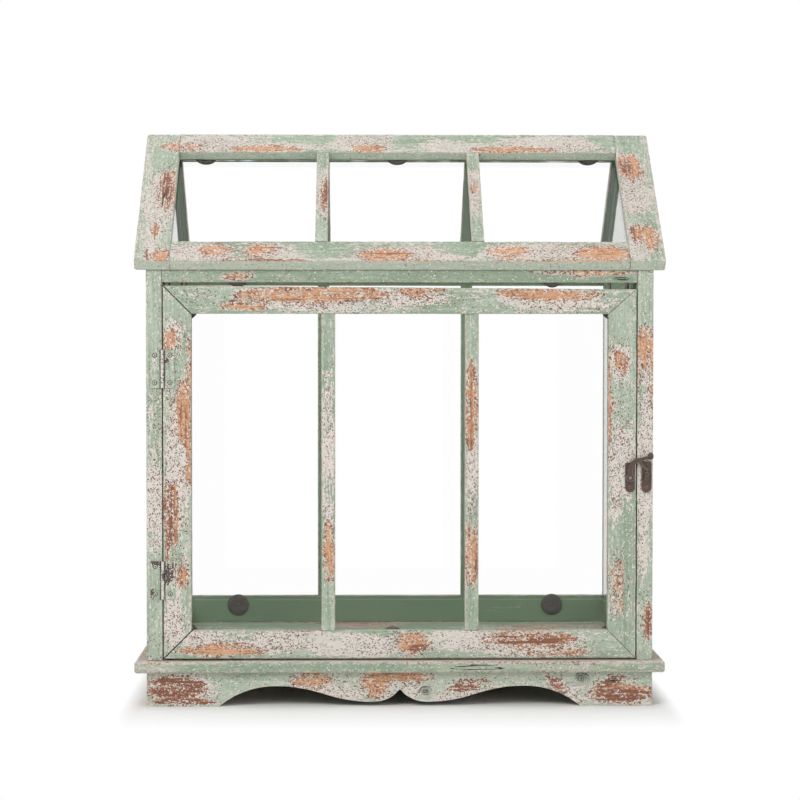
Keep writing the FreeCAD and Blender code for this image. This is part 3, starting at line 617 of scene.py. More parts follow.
def painted_light_tone(name, normal):
    """Painted light on one board, from its tone in the list. On the front roof the inner edges are
    painted paler and the slopes a little darker.
    """
    if "front_roof" in name:
        return np.where(np.abs(normal[:, 1]) > SQUARE_FACE, 1.0, -0.4)
    return np.full(len(normal), PAINTED_LIGHT_TONES.get(name, 0.0))


# %% [markdown]
# The door's two left corners have come a little apart at the front, so the points on either
# side of those mitres really move: under a millimetre, and only to a centimetre deep. Round a
# knot, the grain's own numbers are bent: the distance from its middle takes the place of the
# distance across the board, so every streak becomes a ring.

# %% Open the mitres and bend the grain
DOOR_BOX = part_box("door_left_stile")
DOOR_MEMBER = DOOR_BOX[1].x - DOOR_BOX[0].x
GAP_DEPTH = 0.010
ON_JOINT = 2e-5                  # points this near a joint lie on it
LEFT_MITRES = [                  # rail, height of its corner, up or down, gap outside and inside
    ("door_bottom_rail", DOOR_BOX[0].z, 1, (0.0004, 0.0009)),
    ("door_top_rail", DOOR_BOX[1].z, -1, (0.0005, 0.0005)),
]


def open_mitre(work, name):
    """Opens the door's left corners at the front, and returns 1 on the faces of the gap."""
    opened = np.zeros(len(work.verts))
    for rail, corner_up, way, (outer_gap, inner_gap) in LEFT_MITRES:
        if name not in ("door_left_stile", rail):
            continue
        for vert in work.verts:
            right, up = vert.co.x - DOOR_BOX[0].x, (vert.co.y - corner_up) * way
            on_joint = abs(right - up) < ON_JOINT and right < DOOR_MEMBER + ON_JOINT
            if on_joint and vert.co.z > -DOOR_BOX[0].y - GAP_DEPTH:
                opened[vert.index] = 1
                move = outer_gap + (inner_gap - outer_gap) * right / DOOR_MEMBER
                if name == rail:
                    vert.co.x += move
                else:
                    vert.co.y += move * way
    return opened


def bend_round_knots(grain, name, across, up):
    """Turns the grain into rings round each knot. Returns 1 in a knot's middle, 0 far from it."""
    core = np.zeros(len(grain))
    for x, z, radius in KNOTS.get(name, []):
        away = np.hypot(across - x, up - z)
        near = np.exp(-(away / radius) ** 2)
        grain[:, 0] *= 1 - near
        grain[:, 1] = grain[:, 1] * (1 - near) + away / 1000 * near
        core = np.maximum(core, near)
    return core


# %% [markdown]
# What the photograph hides gets its patches from slow noise, drawn out along the grain and cut
# off at a level that leaves about as much bare wood as the front has. The edges of every board
# are dented too, inwards only, so that it stays within its real size.

# %% Dent the edges and wear what is hidden
DENT = 0.0006                    # deepest dent in an edge
WAVE = 0.00015                   # how uneven a planed face is
RIDGE_KEPT = 0.004               # no dents in the ridge, so that its boards stay in line
DRIFT = Vector((9, 26, 26))      # waves in a metre, along, across and through a board


def dent(work, name, edge, shift, low, high):
    """Waves a board's faces and dents its edges, inwards only."""
    for vert, worn in zip(work.verts, edge):
        point = vert.co + shift
        depth = WAVE * (0.5 + 0.5 * noise.noise(point * 40))
        if "_roof_" not in name or vert.co.y < SLOPE_LENGTH - RIDGE_KEPT:
            depth += DENT * worn * max(0.0, noise.noise(point * 90) + 0.4 * noise.noise(point * 300))
        vert.co -= vert.normal * depth
        vert.co = np.clip(vert.co, low, high)


def drift(grain, kind):
    """Slow noise along the grain. Each kind has its own."""
    apart = Vector((0, kind * 7.3, 0))
    return np.array([noise.noise(Vector(point) * DRIFT + apart) for point in grain])


def hidden_wear(name, grain):
    """Where noise puts the patches. The front roof's edges do show, and have none."""
    worn, coat, brown = (drift(grain, kind) for kind in range(3))
    wear = {
        "bare": np.clip(34 * (worn - 0.24), -9, 5),
        "chips": np.clip(30 * (worn - 0.06), -12, 6),
        "chalk": 2.6 * coat,
        "dark": 9 * brown,
    }
    if "front_roof" in name:
        wear.update(bare=-9.0, chips=-12.0, chalk=-0.78)
    return wear


# %% Weather a cut board
SEED_STEP = np.array((0.37, 0.11, 0.23))     # metres between two boards in the noise
COAT_FADE = 5.0                  # millimetres over which one coat gives way to the other
FAINT_SEAM = 0.9
# Painted light: the roof's slopes face the light from above, and their paint is made whiter to show
# it.
ROOF_LIT_CHALK = 0.3                 # the roof is whiter than the rest
EXPOSED_ENDS = ("apron", "base_board", "_roof_left_stile", "_roof_right_stile", "_post")


def weather(work, name, wall, upright, seed):
    """Dents a cut board and gives it the values that its paint reads."""
    work.verts.index_update()
    work.normal_update()
    limits = box_of(work)
    edge, seam = edges_and_seams(work, 1 if upright else 0, not name.endswith(EXPOSED_ENDS))
    seam = np.maximum(FAINT_SEAM * seam, open_mitre(work, name))
    place = places_of(work.verts)
    normal = np.array([v.normal for v in work.verts])
    shift = Vector(SEED_STEP * seed)
    dent(work, name, edge, shift, *limits)

    across, up = place[:, 0] * 1000, place[:, 1] * 1000
    grain = place[:, [1, 0, 2] if upright else [0, 1, 2]]
    hidden = hidden_wear(name, grain + np.array(shift))
    core = bend_round_knots(grain, name, across, up)
    known = name in CHALK or name in GREEN
    seen = known * np.clip(normal[:, 2] * 2, 0, 1)

    def patched(patches, unseen):
        return seen * depth_in(patches.get(name, []), across, up) + (1 - seen) * unseen

    def coat(patches):
        return np.clip(depth_in(patches.get(name, []), across, up) / COAT_FADE, -0.4, 1)

    back = FACES[wall].inverted()
    object_place = np.array([back @ Vector(p) for p in place])
    object_normal = np.array([back.to_3x3() @ Vector(n) for n in normal])
    # How much painted shade darkens the green, and how far the inside of the case is spared wear.
    inside = inside_and_painted_shade(name, normal, object_place, object_normal)
    white = chalk_faces(name, normal, object_place, object_normal)
    chalk = seen * (coat(CHALK) - coat(GREEN)) + (1 - seen) * hidden["chalk"]
    return {
        "grain": grain + np.array(shift),
        # Painted light and shade for the board.
        "tone": painted_light_tone(name, normal),
        "edge": edge,
        "seam": np.maximum(seam, core * seen),
        "inside": inside,
        "bare": patched(BARE, hidden["bare"]) - 12 * inside - 8 * np.maximum(white, 0),
        "chips": patched(SPECKLED, hidden["chips"]) - 12 * inside,
        "split": patched(SPLIT, -FAR),
        "dark": patched(DARK, hidden["dark"]).clip(0, 3) / 3,
        # The roof's extra white is painted light.
        "chalk": chalk + 1.6 * white + ROOF_LIT_CHALK * ("_roof_" in name),
    }


# %% Take a board back to its place
SHARP = math.radians(35)


def smooth(mesh):
    mesh.shade_smooth()
    mesh.set_sharp_from_angle(angle=SHARP)
    return mesh


def finished_mesh(work, to_face, values, name):
    """Takes a cut board back to its place, as a mesh with its values and smooth normals."""
    work.transform(to_face.inverted())
    mesh = bpy.data.meshes.new(name)
    work.to_mesh(mesh)
    work.free()
    for key, value in values.items():
        kind, field = ("FLOAT_VECTOR", "vector") if key == "grain" else ("FLOAT", "value")
        stored = mesh.attributes.new(key, kind, "POINT")
        stored.data.foreach_set(field, value.astype(np.float32).ravel())
    return smooth(mesh)


# %% [markdown]
# ## The worn paint
# One material paints all the wood. It stacks its layers as the real finish does: wood, white
# undercoat and green, with every border between two layers decided by noise at several sizes.
# `cloud` moves a border by centimetres and `ragged` by a few millimetres, `streak` and `hair`
# follow the grain, and the flakes are the small torn chips themselves. All noise is stretched
# along the grain, because paint comes off along it. The steps between the layers go into the
# bump, so that a chip has an edge which catches light.

# %% Paint colours
GREEN_PALE = srgb(186, 196, 179)
GREEN_DEEP = srgb(142, 159, 137)
# Painted shade: the green of faces inside the case, and a darker green for faces under the roof.
GREEN_SHADED_INSIDE = srgb(122, 142, 116)
GREEN_SHADED_UNDER_ROOF = srgb(80, 106, 76)
CHALK_WARM = srgb(223, 211, 204)
CHALK_COOL = srgb(209, 205, 196)
# Painted shade on the white of boards whose tone is below 0.
CHALK_SHADED = srgb(186, 180, 170)
FLECK = srgb(229, 219, 210)
BRIGHT = srgb(236, 235, 226)
GRIME = srgb(116, 122, 102)
WOOD_PALE = srgb(218, 174, 138)
WOOD_ORANGE = srgb(196, 136, 98)
WOOD_DARK = srgb(136, 90, 70)
CHIP_DARK = srgb(120, 78, 66)
EDGE_LINE = srgb(208, 196, 180)
EDGE_BROWN = srgb(150, 104, 80)
CRACK = srgb(52, 52, 42)
METAL_DARK = srgb(88, 78, 72)
GRAIN_LINE = (0.92, 0.92, 0.92, 1.0)         # the paint is this much darker in the grain


# %% Helpers for the layers
class Layers(Nodes):
    """The node tree of a new material, with the steps that its layers need."""

    def __init__(self, name):
        self.material = bpy.data.materials.new(name)
        self.material.use_nodes = True
        super().__init__(self.material.node_tree)

    def stored(self, name):
        node = self.add("ShaderNodeAttribute", attribute_name=name)
        return node.outputs["Vector" if name == "grain" else "Fac"]

    def scaled(self, place, size, along, shift):
        """A place in units of a size in millimetres, drawn out along the grain."""
        fine = 1000.0 / size
        stretched = self.vector_math("MULTIPLY", place, (fine * along, fine, fine))
        return self.vector_math("ADD", stretched, (shift, shift, shift))

    def noise(self, place, size, along=1.0, detail=3.0, rough=0.55, shift=0.0):
        """Noise from -0.5 to 0.5 with features of a size in millimetres."""
        moved = self.scaled(place, size, along, shift)
        inputs = {"Vector": moved, "Scale": 1.0, "Detail": detail, "Roughness": rough}
        return self.math("SUBTRACT", self.first("ShaderNodeTexNoise", inputs), 0.5)

    def flakes(self, place, size, along=1.0, shift=0.0):
        """Two random values from 0 to 1 for each torn flake of a size in millimetres."""
        moved = self.scaled(place, size, along, shift)
        rough = {"Vector": moved, "Scale": 1.3, "Detail": 2.0, "Roughness": 0.6}
        torn = self.add("ShaderNodeTexNoise", rough).outputs["Color"]
        torn = self.vector_math("SUBTRACT", torn, (0.5, 0.5, 0.5))
        torn = self.vector_math("ADD", moved, self.vector_math("MULTIPLY", torn, (1.6, 1.6, 1.6)))
        cells = self.add("ShaderNodeTexVoronoi", {"Vector": torn, "Scale": 1.0})
        parts = self.add("ShaderNodeSeparateColor", {0: cells.outputs["Color"]}).outputs
        return parts[0], parts[1]

    def total(self, *parts):
        """Adds up values, each given alone or as (value, factor)."""
        result = 0.0
        for part in parts:
            value, factor = part if isinstance(part, tuple) else (part, 1.0)
            result = self.math("MULTIPLY_ADD", value, factor, result)
        return result

    def over(self, value, limit=0.0, soft=0.05):
        """1 where a value is over a limit and 0 where it is under, with a soft step."""
        inputs = {"Value": value, "From Min": limit - soft, "From Max": limit + soft}
        return self.first("ShaderNodeMapRange", inputs)

    def mix(self, factor, low, high, blend="MIX"):
        inputs = {0: factor, 6: low, 7: high}
        return self.add("ShaderNodeMix", inputs, data_type="RGBA", blend_type=blend).outputs[2]

    def surface(self, height, bump_strength, bump_reach, inputs):
        """Ends the material with a shader, its bump taken from a height."""
        bump = {"Height": height, "Strength": bump_strength, "Distance": bump_reach}
        inputs = {**inputs, "Normal": self.first("ShaderNodeBump", bump)}
        shader = self.first("ShaderNodeBsdfPrincipled", inputs)
        self.add("ShaderNodeOutputMaterial", {0: shader})
        return self.material


# %% [markdown]
# The two coats come first, as if nothing had been rubbed off. The green was brushed on thinly,
# so some white shows through all of it, and the border between the coats is torn into flakes
# drawn out along the brush marks.

# %% Mix the two coats
LEAST_CHALK = 0.07               # share of white brush marks left on the green
MOST_CHALK = 0.95                # the rest is green left on the white


def coats(p, noises, place):
    """The two coats of paint, green over chalky white, without their damage, and with the painted
    light and shade of each face.
    """
    cloud, ragged, streak = noises[:3]
    brush, brush_tint = p.flakes(place, 1.35, along=0.4, shift=31.0)
    inside, board_painted_light = p.stored("inside"), p.stored("tone")
    # The random tone of the paint, with the board's painted light added.
    tone = p.total(
        (cloud, 1.4), (streak, 1.0), (ragged, 0.6), (brush_tint, 0.24), (board_painted_light, 0.4), -0.12
    )
    green = p.mix(p.over(tone, soft=0.42), GREEN_DEEP, GREEN_PALE)
    # Painted shade: the green darkens on faces inside the case, and more under the roof.
    green = p.mix(inside, green, GREEN_SHADED_INSIDE)
    green = p.mix(p.over(inside, limit=1.5, soft=0.4), green, GREEN_SHADED_UNDER_ROOF)
    warm = p.over(p.total((ragged, 1.0), (cloud, -1.0), (brush_tint, 0.2), -0.1), soft=0.25)
    white = p.mix(warm, CHALK_COOL, CHALK_WARM)
    # Painted shade: the white dulls where the board's tone is below 0.
    white = p.mix(p.math("MULTIPLY", board_painted_light, -1.0), white, CHALK_SHADED)
    share = p.total(
        (p.stored("chalk"), 0.6), (cloud, 1.2), (ragged, 1.0), (streak, 1.2), (inside, -1.2), 0.25
    )
    share = p.math("MINIMUM", p.math("MAXIMUM", share, LEAST_CHALK), MOST_CHALK)
    on = p.over(p.total(share, (inside, -0.2), (brush, -1.0)), soft=0.06)
    return p.mix(on, green, white), on


# %% [markdown]
# Paint goes in three ways: flakes come off inside the bare patches, small dots are chipped out
# round them and all over the white, and the edges are rubbed to a thin pale or brown line.

# %% Take the paint off
def worn_off(p, noises, place, chalk_on):
    """1 where the paint is gone, how much has gone round about, and the flakes' own values."""
    cloud, ragged, streak = noises[:3]
    big, big_tint = p.flakes(place, 3.0, along=0.6, shift=4.0)
    small, tint = p.flakes(place, 1.15, along=0.75)
    dots = p.flakes(place, 0.85, along=0.8, shift=11.0)[0]
    worn = p.total((p.stored("bare"), 0.08), (cloud, 0.7), (ragged, 1.2), (streak, 1.5), 0.52)
    worn = p.math("MINIMUM", worn, p.total((streak, 1.2), (big_tint, 0.12), 0.68))
    near = p.over(p.total(p.stored("chips"), (ragged, 12.0)), limit=-1.0, soft=5.0)
    dotted = p.total((near, 0.11), (chalk_on, 0.05), (p.stored("inside"), -0.1), 0.015)
    patch = p.over(p.total(worn, (big, -0.3), (small, -0.7)), soft=0.03)
    dot = p.over(p.total(dotted, (dots, -1.0)), soft=0.015)
    bare_on = p.math("MAXIMUM", patch, dot)
    return bare_on, worn, p.math("MAXIMUM", worn, dotted), small, tint, dots


def bare_wood(p, noises, wear, tint, under, under_dark):
    """Wood, or metal, where the paint has gone. Where little has gone, the chips are dark."""
    cloud, ragged, streak, hair = noises
    is_wood = under == WOOD_ORANGE
    pale = p.over(p.total((streak, 1.6), (hair, 0.9), (ragged, 0.4)), soft=0.35)
    wood = p.mix(pale, under, WOOD_PALE if is_wood else under_dark)
    brown = p.total((p.stored("dark"), 0.45), (cloud, 0.9), (ragged, 0.9), (streak, 1.6), (tint, 0.2))
    brown = p.over(brown, limit=0.36, soft=0.16)
    wood = p.mix(brown, wood, WOOD_DARK if is_wood else under_dark)
    small = p.over(p.total((wear, -1.0), (tint, 0.5)), limit=-0.3, soft=0.15)
    return p.mix(small, wood, under_dark)


def flecked(p, coat, worn, dots):
    """Pale flecks round the bare patches, and grime and bright flecks on the outer faces."""
    pale = p.math("MULTIPLY", p.over(worn, limit=0.3, soft=0.25), 0.75)
    coat = p.mix(pale, coat, FLECK)
    outside = p.over(p.total((p.stored("inside"), -1.0), 0.5), soft=0.1)
    for limit, strength, colour in [(0.93, 0.55, GRIME), (0.965, 0.85, BRIGHT)]:
        fleck = p.math("MULTIPLY", p.over(dots, limit=limit, soft=0.01), strength)
        coat = p.mix(p.math("MULTIPLY", fleck, outside), coat, colour)
    return coat


def cracks(p, noises, place):
    """1 in the cracks: thin ones here and there, wide ones in a split, and dirt in a seam."""
    cloud, ragged = noises[:2]
    grooves = p.noise(place, 2.0, along=0.03, detail=1.0, shift=17.0)
    some = p.over(p.total((cloud, 1.0), (ragged, 0.8)), limit=0.24, soft=0.02)
    thin = p.math("MULTIPLY", p.math("COMPARE", grooves, 0.0, 0.02), some)
    split = p.over(p.total(p.stored("split"), (ragged, 8.0)), soft=0.4)
    wide = p.math("MULTIPLY", p.math("COMPARE", grooves, 0.0, 0.05), split)
    seam = p.over(p.total(p.stored("seam"), (ragged, 0.5)), limit=0.86, soft=0.1)
    return p.math("MAXIMUM", p.math("MAXIMUM", thin, wide), seam)


# %% Mix the worn paint
STEP_HEIGHT = 0.0003             # metres, from one layer to the next
PAINT_BUMP = 0.6
PAINT_ROUGHNESS = 0.75


def worn_paint(name, under, under_dark):
    """Two old coats over wood, or over the metal of a painted fitting."""
    p = Layers(name)
    place = p.stored("grain")
    cloud = p.noise(place, 42, along=0.45)
    ragged = p.noise(place, 8, along=0.5, detail=5, rough=0.7, shift=3.1)
    streak = p.noise(place, 2.6, along=0.035, detail=2, shift=5.9)
    hair = p.noise(place, 0.9, along=0.05, detail=2, shift=2.3)
    noises = (cloud, ragged, streak, hair)

    coat, chalk_on = coats(p, noises, place)
    bare_on, worn, wear, small, tint, dots = worn_off(p, noises, place, chalk_on)
    coat = flecked(p, coat, worn, dots)
    coat = p.mix(bare_on, coat, bare_wood(p, noises, wear, tint, under, under_dark))
    rub_depth = p.total(p.stored("edge"), (ragged, 1.0), (small, 0.3), (cloud, 0.8), -0.15)
    rubbed = p.over(rub_depth, limit=0.98, soft=0.14)
    brown_edge = p.over(p.total(tint, (cloud, 1.5)), limit=0.85, soft=0.1)
    coat = p.mix(p.math("MULTIPLY", rubbed, 0.8), coat, p.mix(brown_edge, EDGE_LINE, EDGE_BROWN))
    crack = cracks(p, noises, place)
    coat = p.mix(crack, coat, CRACK)
    coat = p.mix(1.0, coat, p.mix(p.over(hair, soft=0.3), GRAIN_LINE, WHITE), blend="MULTIPLY")

    height = p.total(
        (chalk_on, 0.35), (bare_on, -1.0), (rubbed, -0.4), (crack, -1.6), (small, 0.3),
        (streak, 0.6), (hair, 0.5),
    )
    rough = p.total((bare_on, -0.14), (small, 0.1), PAINT_ROUGHNESS)
    inputs = {"Base Color": coat, "Roughness": rough, "Specular IOR Level": 0.3}
    return p.surface(height, PAINT_BUMP, STEP_HEIGHT, inputs)


PAINT = worn_paint("worn_paint", WOOD_ORANGE, CHIP_DARK)
HINGE_PAINT = worn_paint("painted_hinge", METAL_DARK, METAL_DARK)
print("paint nodes:", len(PAINT.node_tree.nodes))

# %% [markdown]
# ## Painting the boards
# Now each board is cut, weathered and painted. A line of the lists says on which wall a board
# lies, and `UPRIGHT` holds those whose grain stands upright. The frame's own board stays in the
# model, hidden, and the painted one stands for it.

# %% Make the painted boards
FINE = (0.004, 0.0022, 0.004)    # cell sizes right, up and out, on a board with level grain
COARSE = (0.006, 0.004, 0.006)
FLOOR_CELLS = (0.006, 0.003, 0.008)
LEVEL = {
    "front": ["front_apron", "door_bottom_rail", "door_top_rail", "front_top_rail", "base_board"],
    "rear": ["rear_apron", "rear_top_rail", "rear_bottom_rail"],
    "right": ["right_apron", "right_bottom_rail", "right_top_rail"],
    "left": ["left_apron", "left_bottom_rail", "left_top_rail"],
    "front_roof": ["front_roof_bottom_rail", "front_roof_top_rail"],
    "rear_roof": ["rear_roof_bottom_rail", "rear_roof_top_rail"],
}
UPRIGHT = {
    "front": ["front_left_post", "front_right_post", "door_left_stile", "door_right_stile"],
    "rear": ["rear_left_post", "rear_right_post"],
    "right": ["right_muntin"],
    "left": ["left_muntin"],
    "front_roof": [
        "front_roof_left_stile", "front_roof_right_stile", "left_front_rafter", "right_front_rafter",
    ],
    "rear_roof": [
        "rear_roof_left_stile", "rear_roof_right_stile", "left_rear_rafter", "right_rear_rafter",
    ],
}


def show_piece(name, ending, mesh, body, material):
    """A finished piece that stands for a node of the frame."""
    mesh.materials.clear()
    mesh.materials.append(material)
    piece = bpy.data.objects.new(name + ending, mesh)
    scene.collection.objects.link(piece)
    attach(piece, body)
    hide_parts(name)
    return len(mesh.polygons)


def paint_board(name, wall, upright, seed, source=None):
    right, up, out = FINE if "front" in wall else COARSE
    if name == "base_board":
        right, up, out = FLOOR_CELLS
    mesh = source or frame["nodes"][name].data
    work = cut_fine(mesh, FACES[wall], (up, right, out) if upright else (right, up, out))
    values = weather(work, name, wall, upright, seed)
    painted = finished_mesh(work, FACES[wall], values, name + "_painted")
    return show_piece(name, "_painted", painted, BODY_OF[name], PAINT)


boards = [(name, wall, False) for wall, names in LEVEL.items() for name in names]
boards += [(name, wall, True) for wall, names in UPRIGHT.items() for name in names]
painted_faces = sum(paint_board(*board, seed) for seed, board in enumerate(boards))
print("painted boards:", len(boards), "with", painted_faces, "faces")

# %% [markdown]
# ## Glazing bars
# The bars between the panes repeat and follow one rule: so many bars of one section, spread
# evenly between two edges. That is a job for Geometry Nodes. The tree sweeps a rectangle with
# filleted corners along a straight line and puts a copy of it on each point of a row. Its
# inputs are the real sizes, so the same tree makes the door's, the rear wall's and the roof's.

# %% Helpers for the trees
def geometry_tree(name, sizes):
    """A new node tree with a geometry output and number inputs with their first values."""
    tree = bpy.data.node_groups.new(name, "GeometryNodeTree")
    tree.interface.new_socket("Geometry", in_out="OUTPUT", socket_type="NodeSocketGeometry")
    for label, value in sizes.items():
        kind = "NodeSocketInt" if isinstance(value, int) else "NodeSocketFloat"
        tree.interface.new_socket(label, in_out="INPUT", socket_type=kind).default_value = value
    return tree


def swept(n, path, width, height, rounding, count, caps=False):
    """A rectangle with rounded corners, swept along a path."""
    section = n.first("GeometryNodeCurvePrimitiveQuadrilateral", {"Width": width, "Height": height})
    rounded = {"Curve": section, "Radius": rounding, "Count": count}
    profile = n.first("GeometryNodeFilletCurve", rounded, mode="POLY")
    inputs = {"Curve": path, "Profile Curve": profile, "Fill Caps": caps}
    return n.first("GeometryNodeCurveToMesh", inputs)


def end_tree(n, placed, material):
    """Makes real copies of what was placed, with their material, and hands them on."""
    real = n.first("GeometryNodeRealizeInstances", {0: placed})
    finished = n.first("GeometryNodeSetMaterial", {0: real, "Material": material})
    n.add("NodeGroupOutput", {0: finished})


def grow(tree, sizes, points=None):
    """Runs a node tree with the given sizes and returns what it makes as a plain mesh."""
    carrier = bpy.data.objects.new("carrier", points or bpy.data.meshes.new("seed"))
    scene.collection.objects.link(carrier)
    modifier = carrier.modifiers.new("nodes", "NODES")
    modifier.node_group = tree
    for item in tree.interface.items_tree:
        if item.in_out == "INPUT" and item.name in sizes:
            modifier[item.identifier] = sizes[item.name]
    evaluated = carrier.evaluated_get(bpy.context.evaluated_depsgraph_get())
    made = bpy.data.meshes.new_from_object(evaluated)
    carrier.modifiers.remove(modifier)
    bpy.data.objects.remove(carrier)
    return made


# %% Make the bars
BAR_SIZES = {
    "Bars": 2, "Spacing": 0.15, "Length": 0.3, "Width": 0.013, "Depth": 0.012, "Rounding": 0.001,
}
WIDER_BARS = {"door_muntins": 0.014}
BAR_WALLS = {
    "door_muntins": "front", "rear_muntins": "rear",
    "front_roof_muntins": "front_roof", "rear_roof_muntins": "rear_roof",
}


def bars_tree(material):
    tree = geometry_tree("glazing_bars", BAR_SIZES)
    n = Nodes(tree)
    given = n.add("NodeGroupInput").outputs
    end = n.first("ShaderNodeCombineXYZ", {"Y": given["Length"]})
    line = n.first("GeometryNodeCurvePrimitiveLine", {"End": end})
    bar = swept(n, line, given["Width"], given["Depth"], given["Rounding"], 4, caps=True)
    gap = n.first("ShaderNodeCombineXYZ", {"X": given["Spacing"]})
    row = n.first("GeometryNodeMeshLine", {"Count": given["Bars"], "Offset": gap}, mode="OFFSET")
    end_tree(n, n.first("GeometryNodeInstanceOnPoints", {"Points": row, "Instance": bar}), material)
    return tree


BARS = bars_tree(PAINT)


def glazing_bars(name, wall, seed):
    node = frame["nodes"][name].data.copy()
    node.transform(FACES[wall])
    places = places_of(node.vertices)
    low, high = places.min(0), places.max(0)
    width = WIDER_BARS.get(name, BAR_SIZES["Width"])
    length, depth = float(high[1] - low[1]), float(high[2] - low[2])
    spacing = float(high[0] - low[0] - width)
    bars = grow(BARS, {"Spacing": spacing, "Length": length, "Width": width, "Depth": depth})
    start = Vector((low[0] + width / 2, low[1], (low[2] + high[2]) / 2))
    bars.transform(FACES[wall].inverted() @ Matrix.Translation(start))
    return paint_board(name, wall, True, seed, source=bars)


for seed, (name, wall) in enumerate(BAR_WALLS.items()):
    print(name, glazing_bars(name, wall, len(boards) + seed), "faces")

# %% [markdown]
# ## Glass
# The panes are old window glass, clear and slightly green. Glass in a path tracer casts a dark
# shadow unless light is let through it, so rays that carry light to the inside pass straight
# through, and only rays that are seen meet the glass.

# %% Make the glass
PANE_COLOUR = (0.998, 1.0, 0.999, 1.0)
PASSED_LIGHT = (0.97, 0.985, 0.975, 1.0)


def clear_glass():
    p = Layers("clear_glass")
    path = p.add("ShaderNodeLightPath")
    pass_by = p.math("MAXIMUM", path.outputs["Is Shadow Ray"], path.outputs["Is Diffuse Ray"])
    look = {"Base Color": PANE_COLOUR, "Roughness": 0.0, "IOR": 1.2, "Transmission Weight": 1.0}
    pane = p.first("ShaderNodeBsdfPrincipled", look)
    clear = p.first("ShaderNodeBsdfTransparent", {"Color": PASSED_LIGHT})
    mix = p.first("ShaderNodeMixShader", {0: pass_by, 1: pane, 2: clear})
    p.add("ShaderNodeOutputMaterial", {0: mix})
    return p.material


GLASS = clear_glass()
panes = [name for name in frame["nodes"] if name.endswith("_glass")]
for name in panes:
    pane = frame["nodes"][name]
    pane.data.materials.clear()
    pane.data.materials.append(GLASS)
print("panes:", len(panes))

# %% [markdown]
# ## Screws and glazing clips
# Screws and clips repeat all over, so Geometry Nodes make them too. A row of loose points says
# where each one sits, and a vector on each point says which way it faces. Both are read from
# the frame's own screws: a screw is longest along its axis, and its head is its wide end.

# %% Find where the screws sit
HEAD_RADIUS = 0.002
HEAD_HEIGHT = 0.0008
SHANK_RADIUS = 0.0009
RUBBED_BELOW = 0.226             # the latch's screws under this height are rubbed to copper


def islands(name):
    """The separate solids of a node, each as an array of points."""
    work = merged_copy(frame["nodes"][name].data, Matrix())
    found, seen = [], set()
    for start in work.verts:
        if start in seen:
            continue
        group, stack = [], [start]
        seen.add(start)
        while stack:
            vert = stack.pop()
            group.append(tuple(vert.co))
            for edge in vert.link_edges:
                other = edge.other_vert(vert)
                if other not in seen:
                    seen.add(other)
                    stack.append(other)
        found.append(np.array(group))
    work.free()
    return found


def screw_seat(points):
    """Where the head of a screw sits, and the direction out of the wood."""
    middle = points.mean(0)
    axis = np.linalg.eigh(np.cov((points - middle).T))[1][:, 2]
    along = (points - middle) @ axis
    off_axis = np.linalg.norm(points - middle - np.outer(along, axis), axis=1)
    head = off_axis > (HEAD_RADIUS + SHANK_RADIUS) / 2
    if along[head].mean() < along[~head].mean():
        axis, along = -axis, -along
    return Vector(middle + axis * along[head].min()), Vector(axis)


def points_mesh(seats):
    mesh = bpy.data.meshes.new("seats")
    mesh.from_pydata([seat for seat, way in seats], [], [])
    facing = mesh.attributes.new("facing", "FLOAT_VECTOR", "POINT")
    facing.data.foreach_set("vector", np.array([way for seat, way in seats]).ravel())
    flags = {
        "on_latch": [float(seat.x > 0) for seat, way in seats],
        "rubbed": [float(seat.z < RUBBED_BELOW) for seat, way in seats],
    }
    for name, values in flags.items():
        mesh.attributes.new(name, "FLOAT", "POINT").data.foreach_set("value", values)
    return mesh


SEATS = {
    name: [screw_seat(points) for points in islands(name)]
    for name in frame["nodes"] if name.endswith("_screws")
}
print("screws:", {name: len(seats) for name, seats in SEATS.items()})

# %% [markdown]
# A screw head is a slice of a ball with a cross cut into it. Booleans inside the tree cut it,
# and each copy turns by a different angle about its own axis, because no two screws stop at
# the same place. The clip is a ring: a filleted rectangle swept round a circle.

# %% Put copies on the points
def points_tree(name, sizes):
    tree = geometry_tree(name, sizes)
    tree.interface.new_socket("Points", in_out="INPUT", socket_type="NodeSocketGeometry")
    tree.interface.move(tree.interface.items_tree["Points"], 0)
    return tree


def on_points(n, shape, seed, material):
    """Copies of a shape on the incoming points, along their facing vector, each turned its own way."""
    facing = n.first("GeometryNodeInputNamedAttribute", {"Name": "facing"}, data_type="FLOAT_VECTOR")
    aligned = n.first("FunctionNodeAlignRotationToVector", {"Vector": facing}, axis="Z")
    angle = n.add("FunctionNodeRandomValue", {2: 0.0, 3: math.tau, "Seed": seed}).outputs[1]
    own = n.first("FunctionNodeEulerToRotation", {0: n.first("ShaderNodeCombineXYZ", {"Z": angle})})
    turn = n.first("FunctionNodeRotateRotation", {0: aligned, 1: own}, rotation_space="LOCAL")
    points = n.add("NodeGroupInput").outputs["Points"]
    inputs = {"Points": points, "Instance": shape, "Rotation": turn}
    end_tree(n, n.first("GeometryNodeInstanceOnPoints", inputs), material)


def lifted(n, shape, height):
    """A shape moved along its own axis."""
    inputs = {"Geometry": shape, "Translation": n.first("ShaderNodeCombineXYZ", {"Z": height})}
    return n.first("GeometryNodeTransform", inputs)


# %% Build the tree for the screws
ROUND = 24                       # sides of a rod or ball
BALL_RINGS = 32


def rod(n, radius, length, height):
    inputs = {"Vertices": ROUND, "Radius": radius, "Depth": length}
    return lifted(n, n.first("GeometryNodeMeshCylinder", inputs), height)


def block(n, width, length, thick, height):
    size = n.first("ShaderNodeCombineXYZ", {"X": width, "Y": length, "Z": thick})
    return lifted(n, n.first("GeometryNodeMeshCube", {"Size": size}), height)


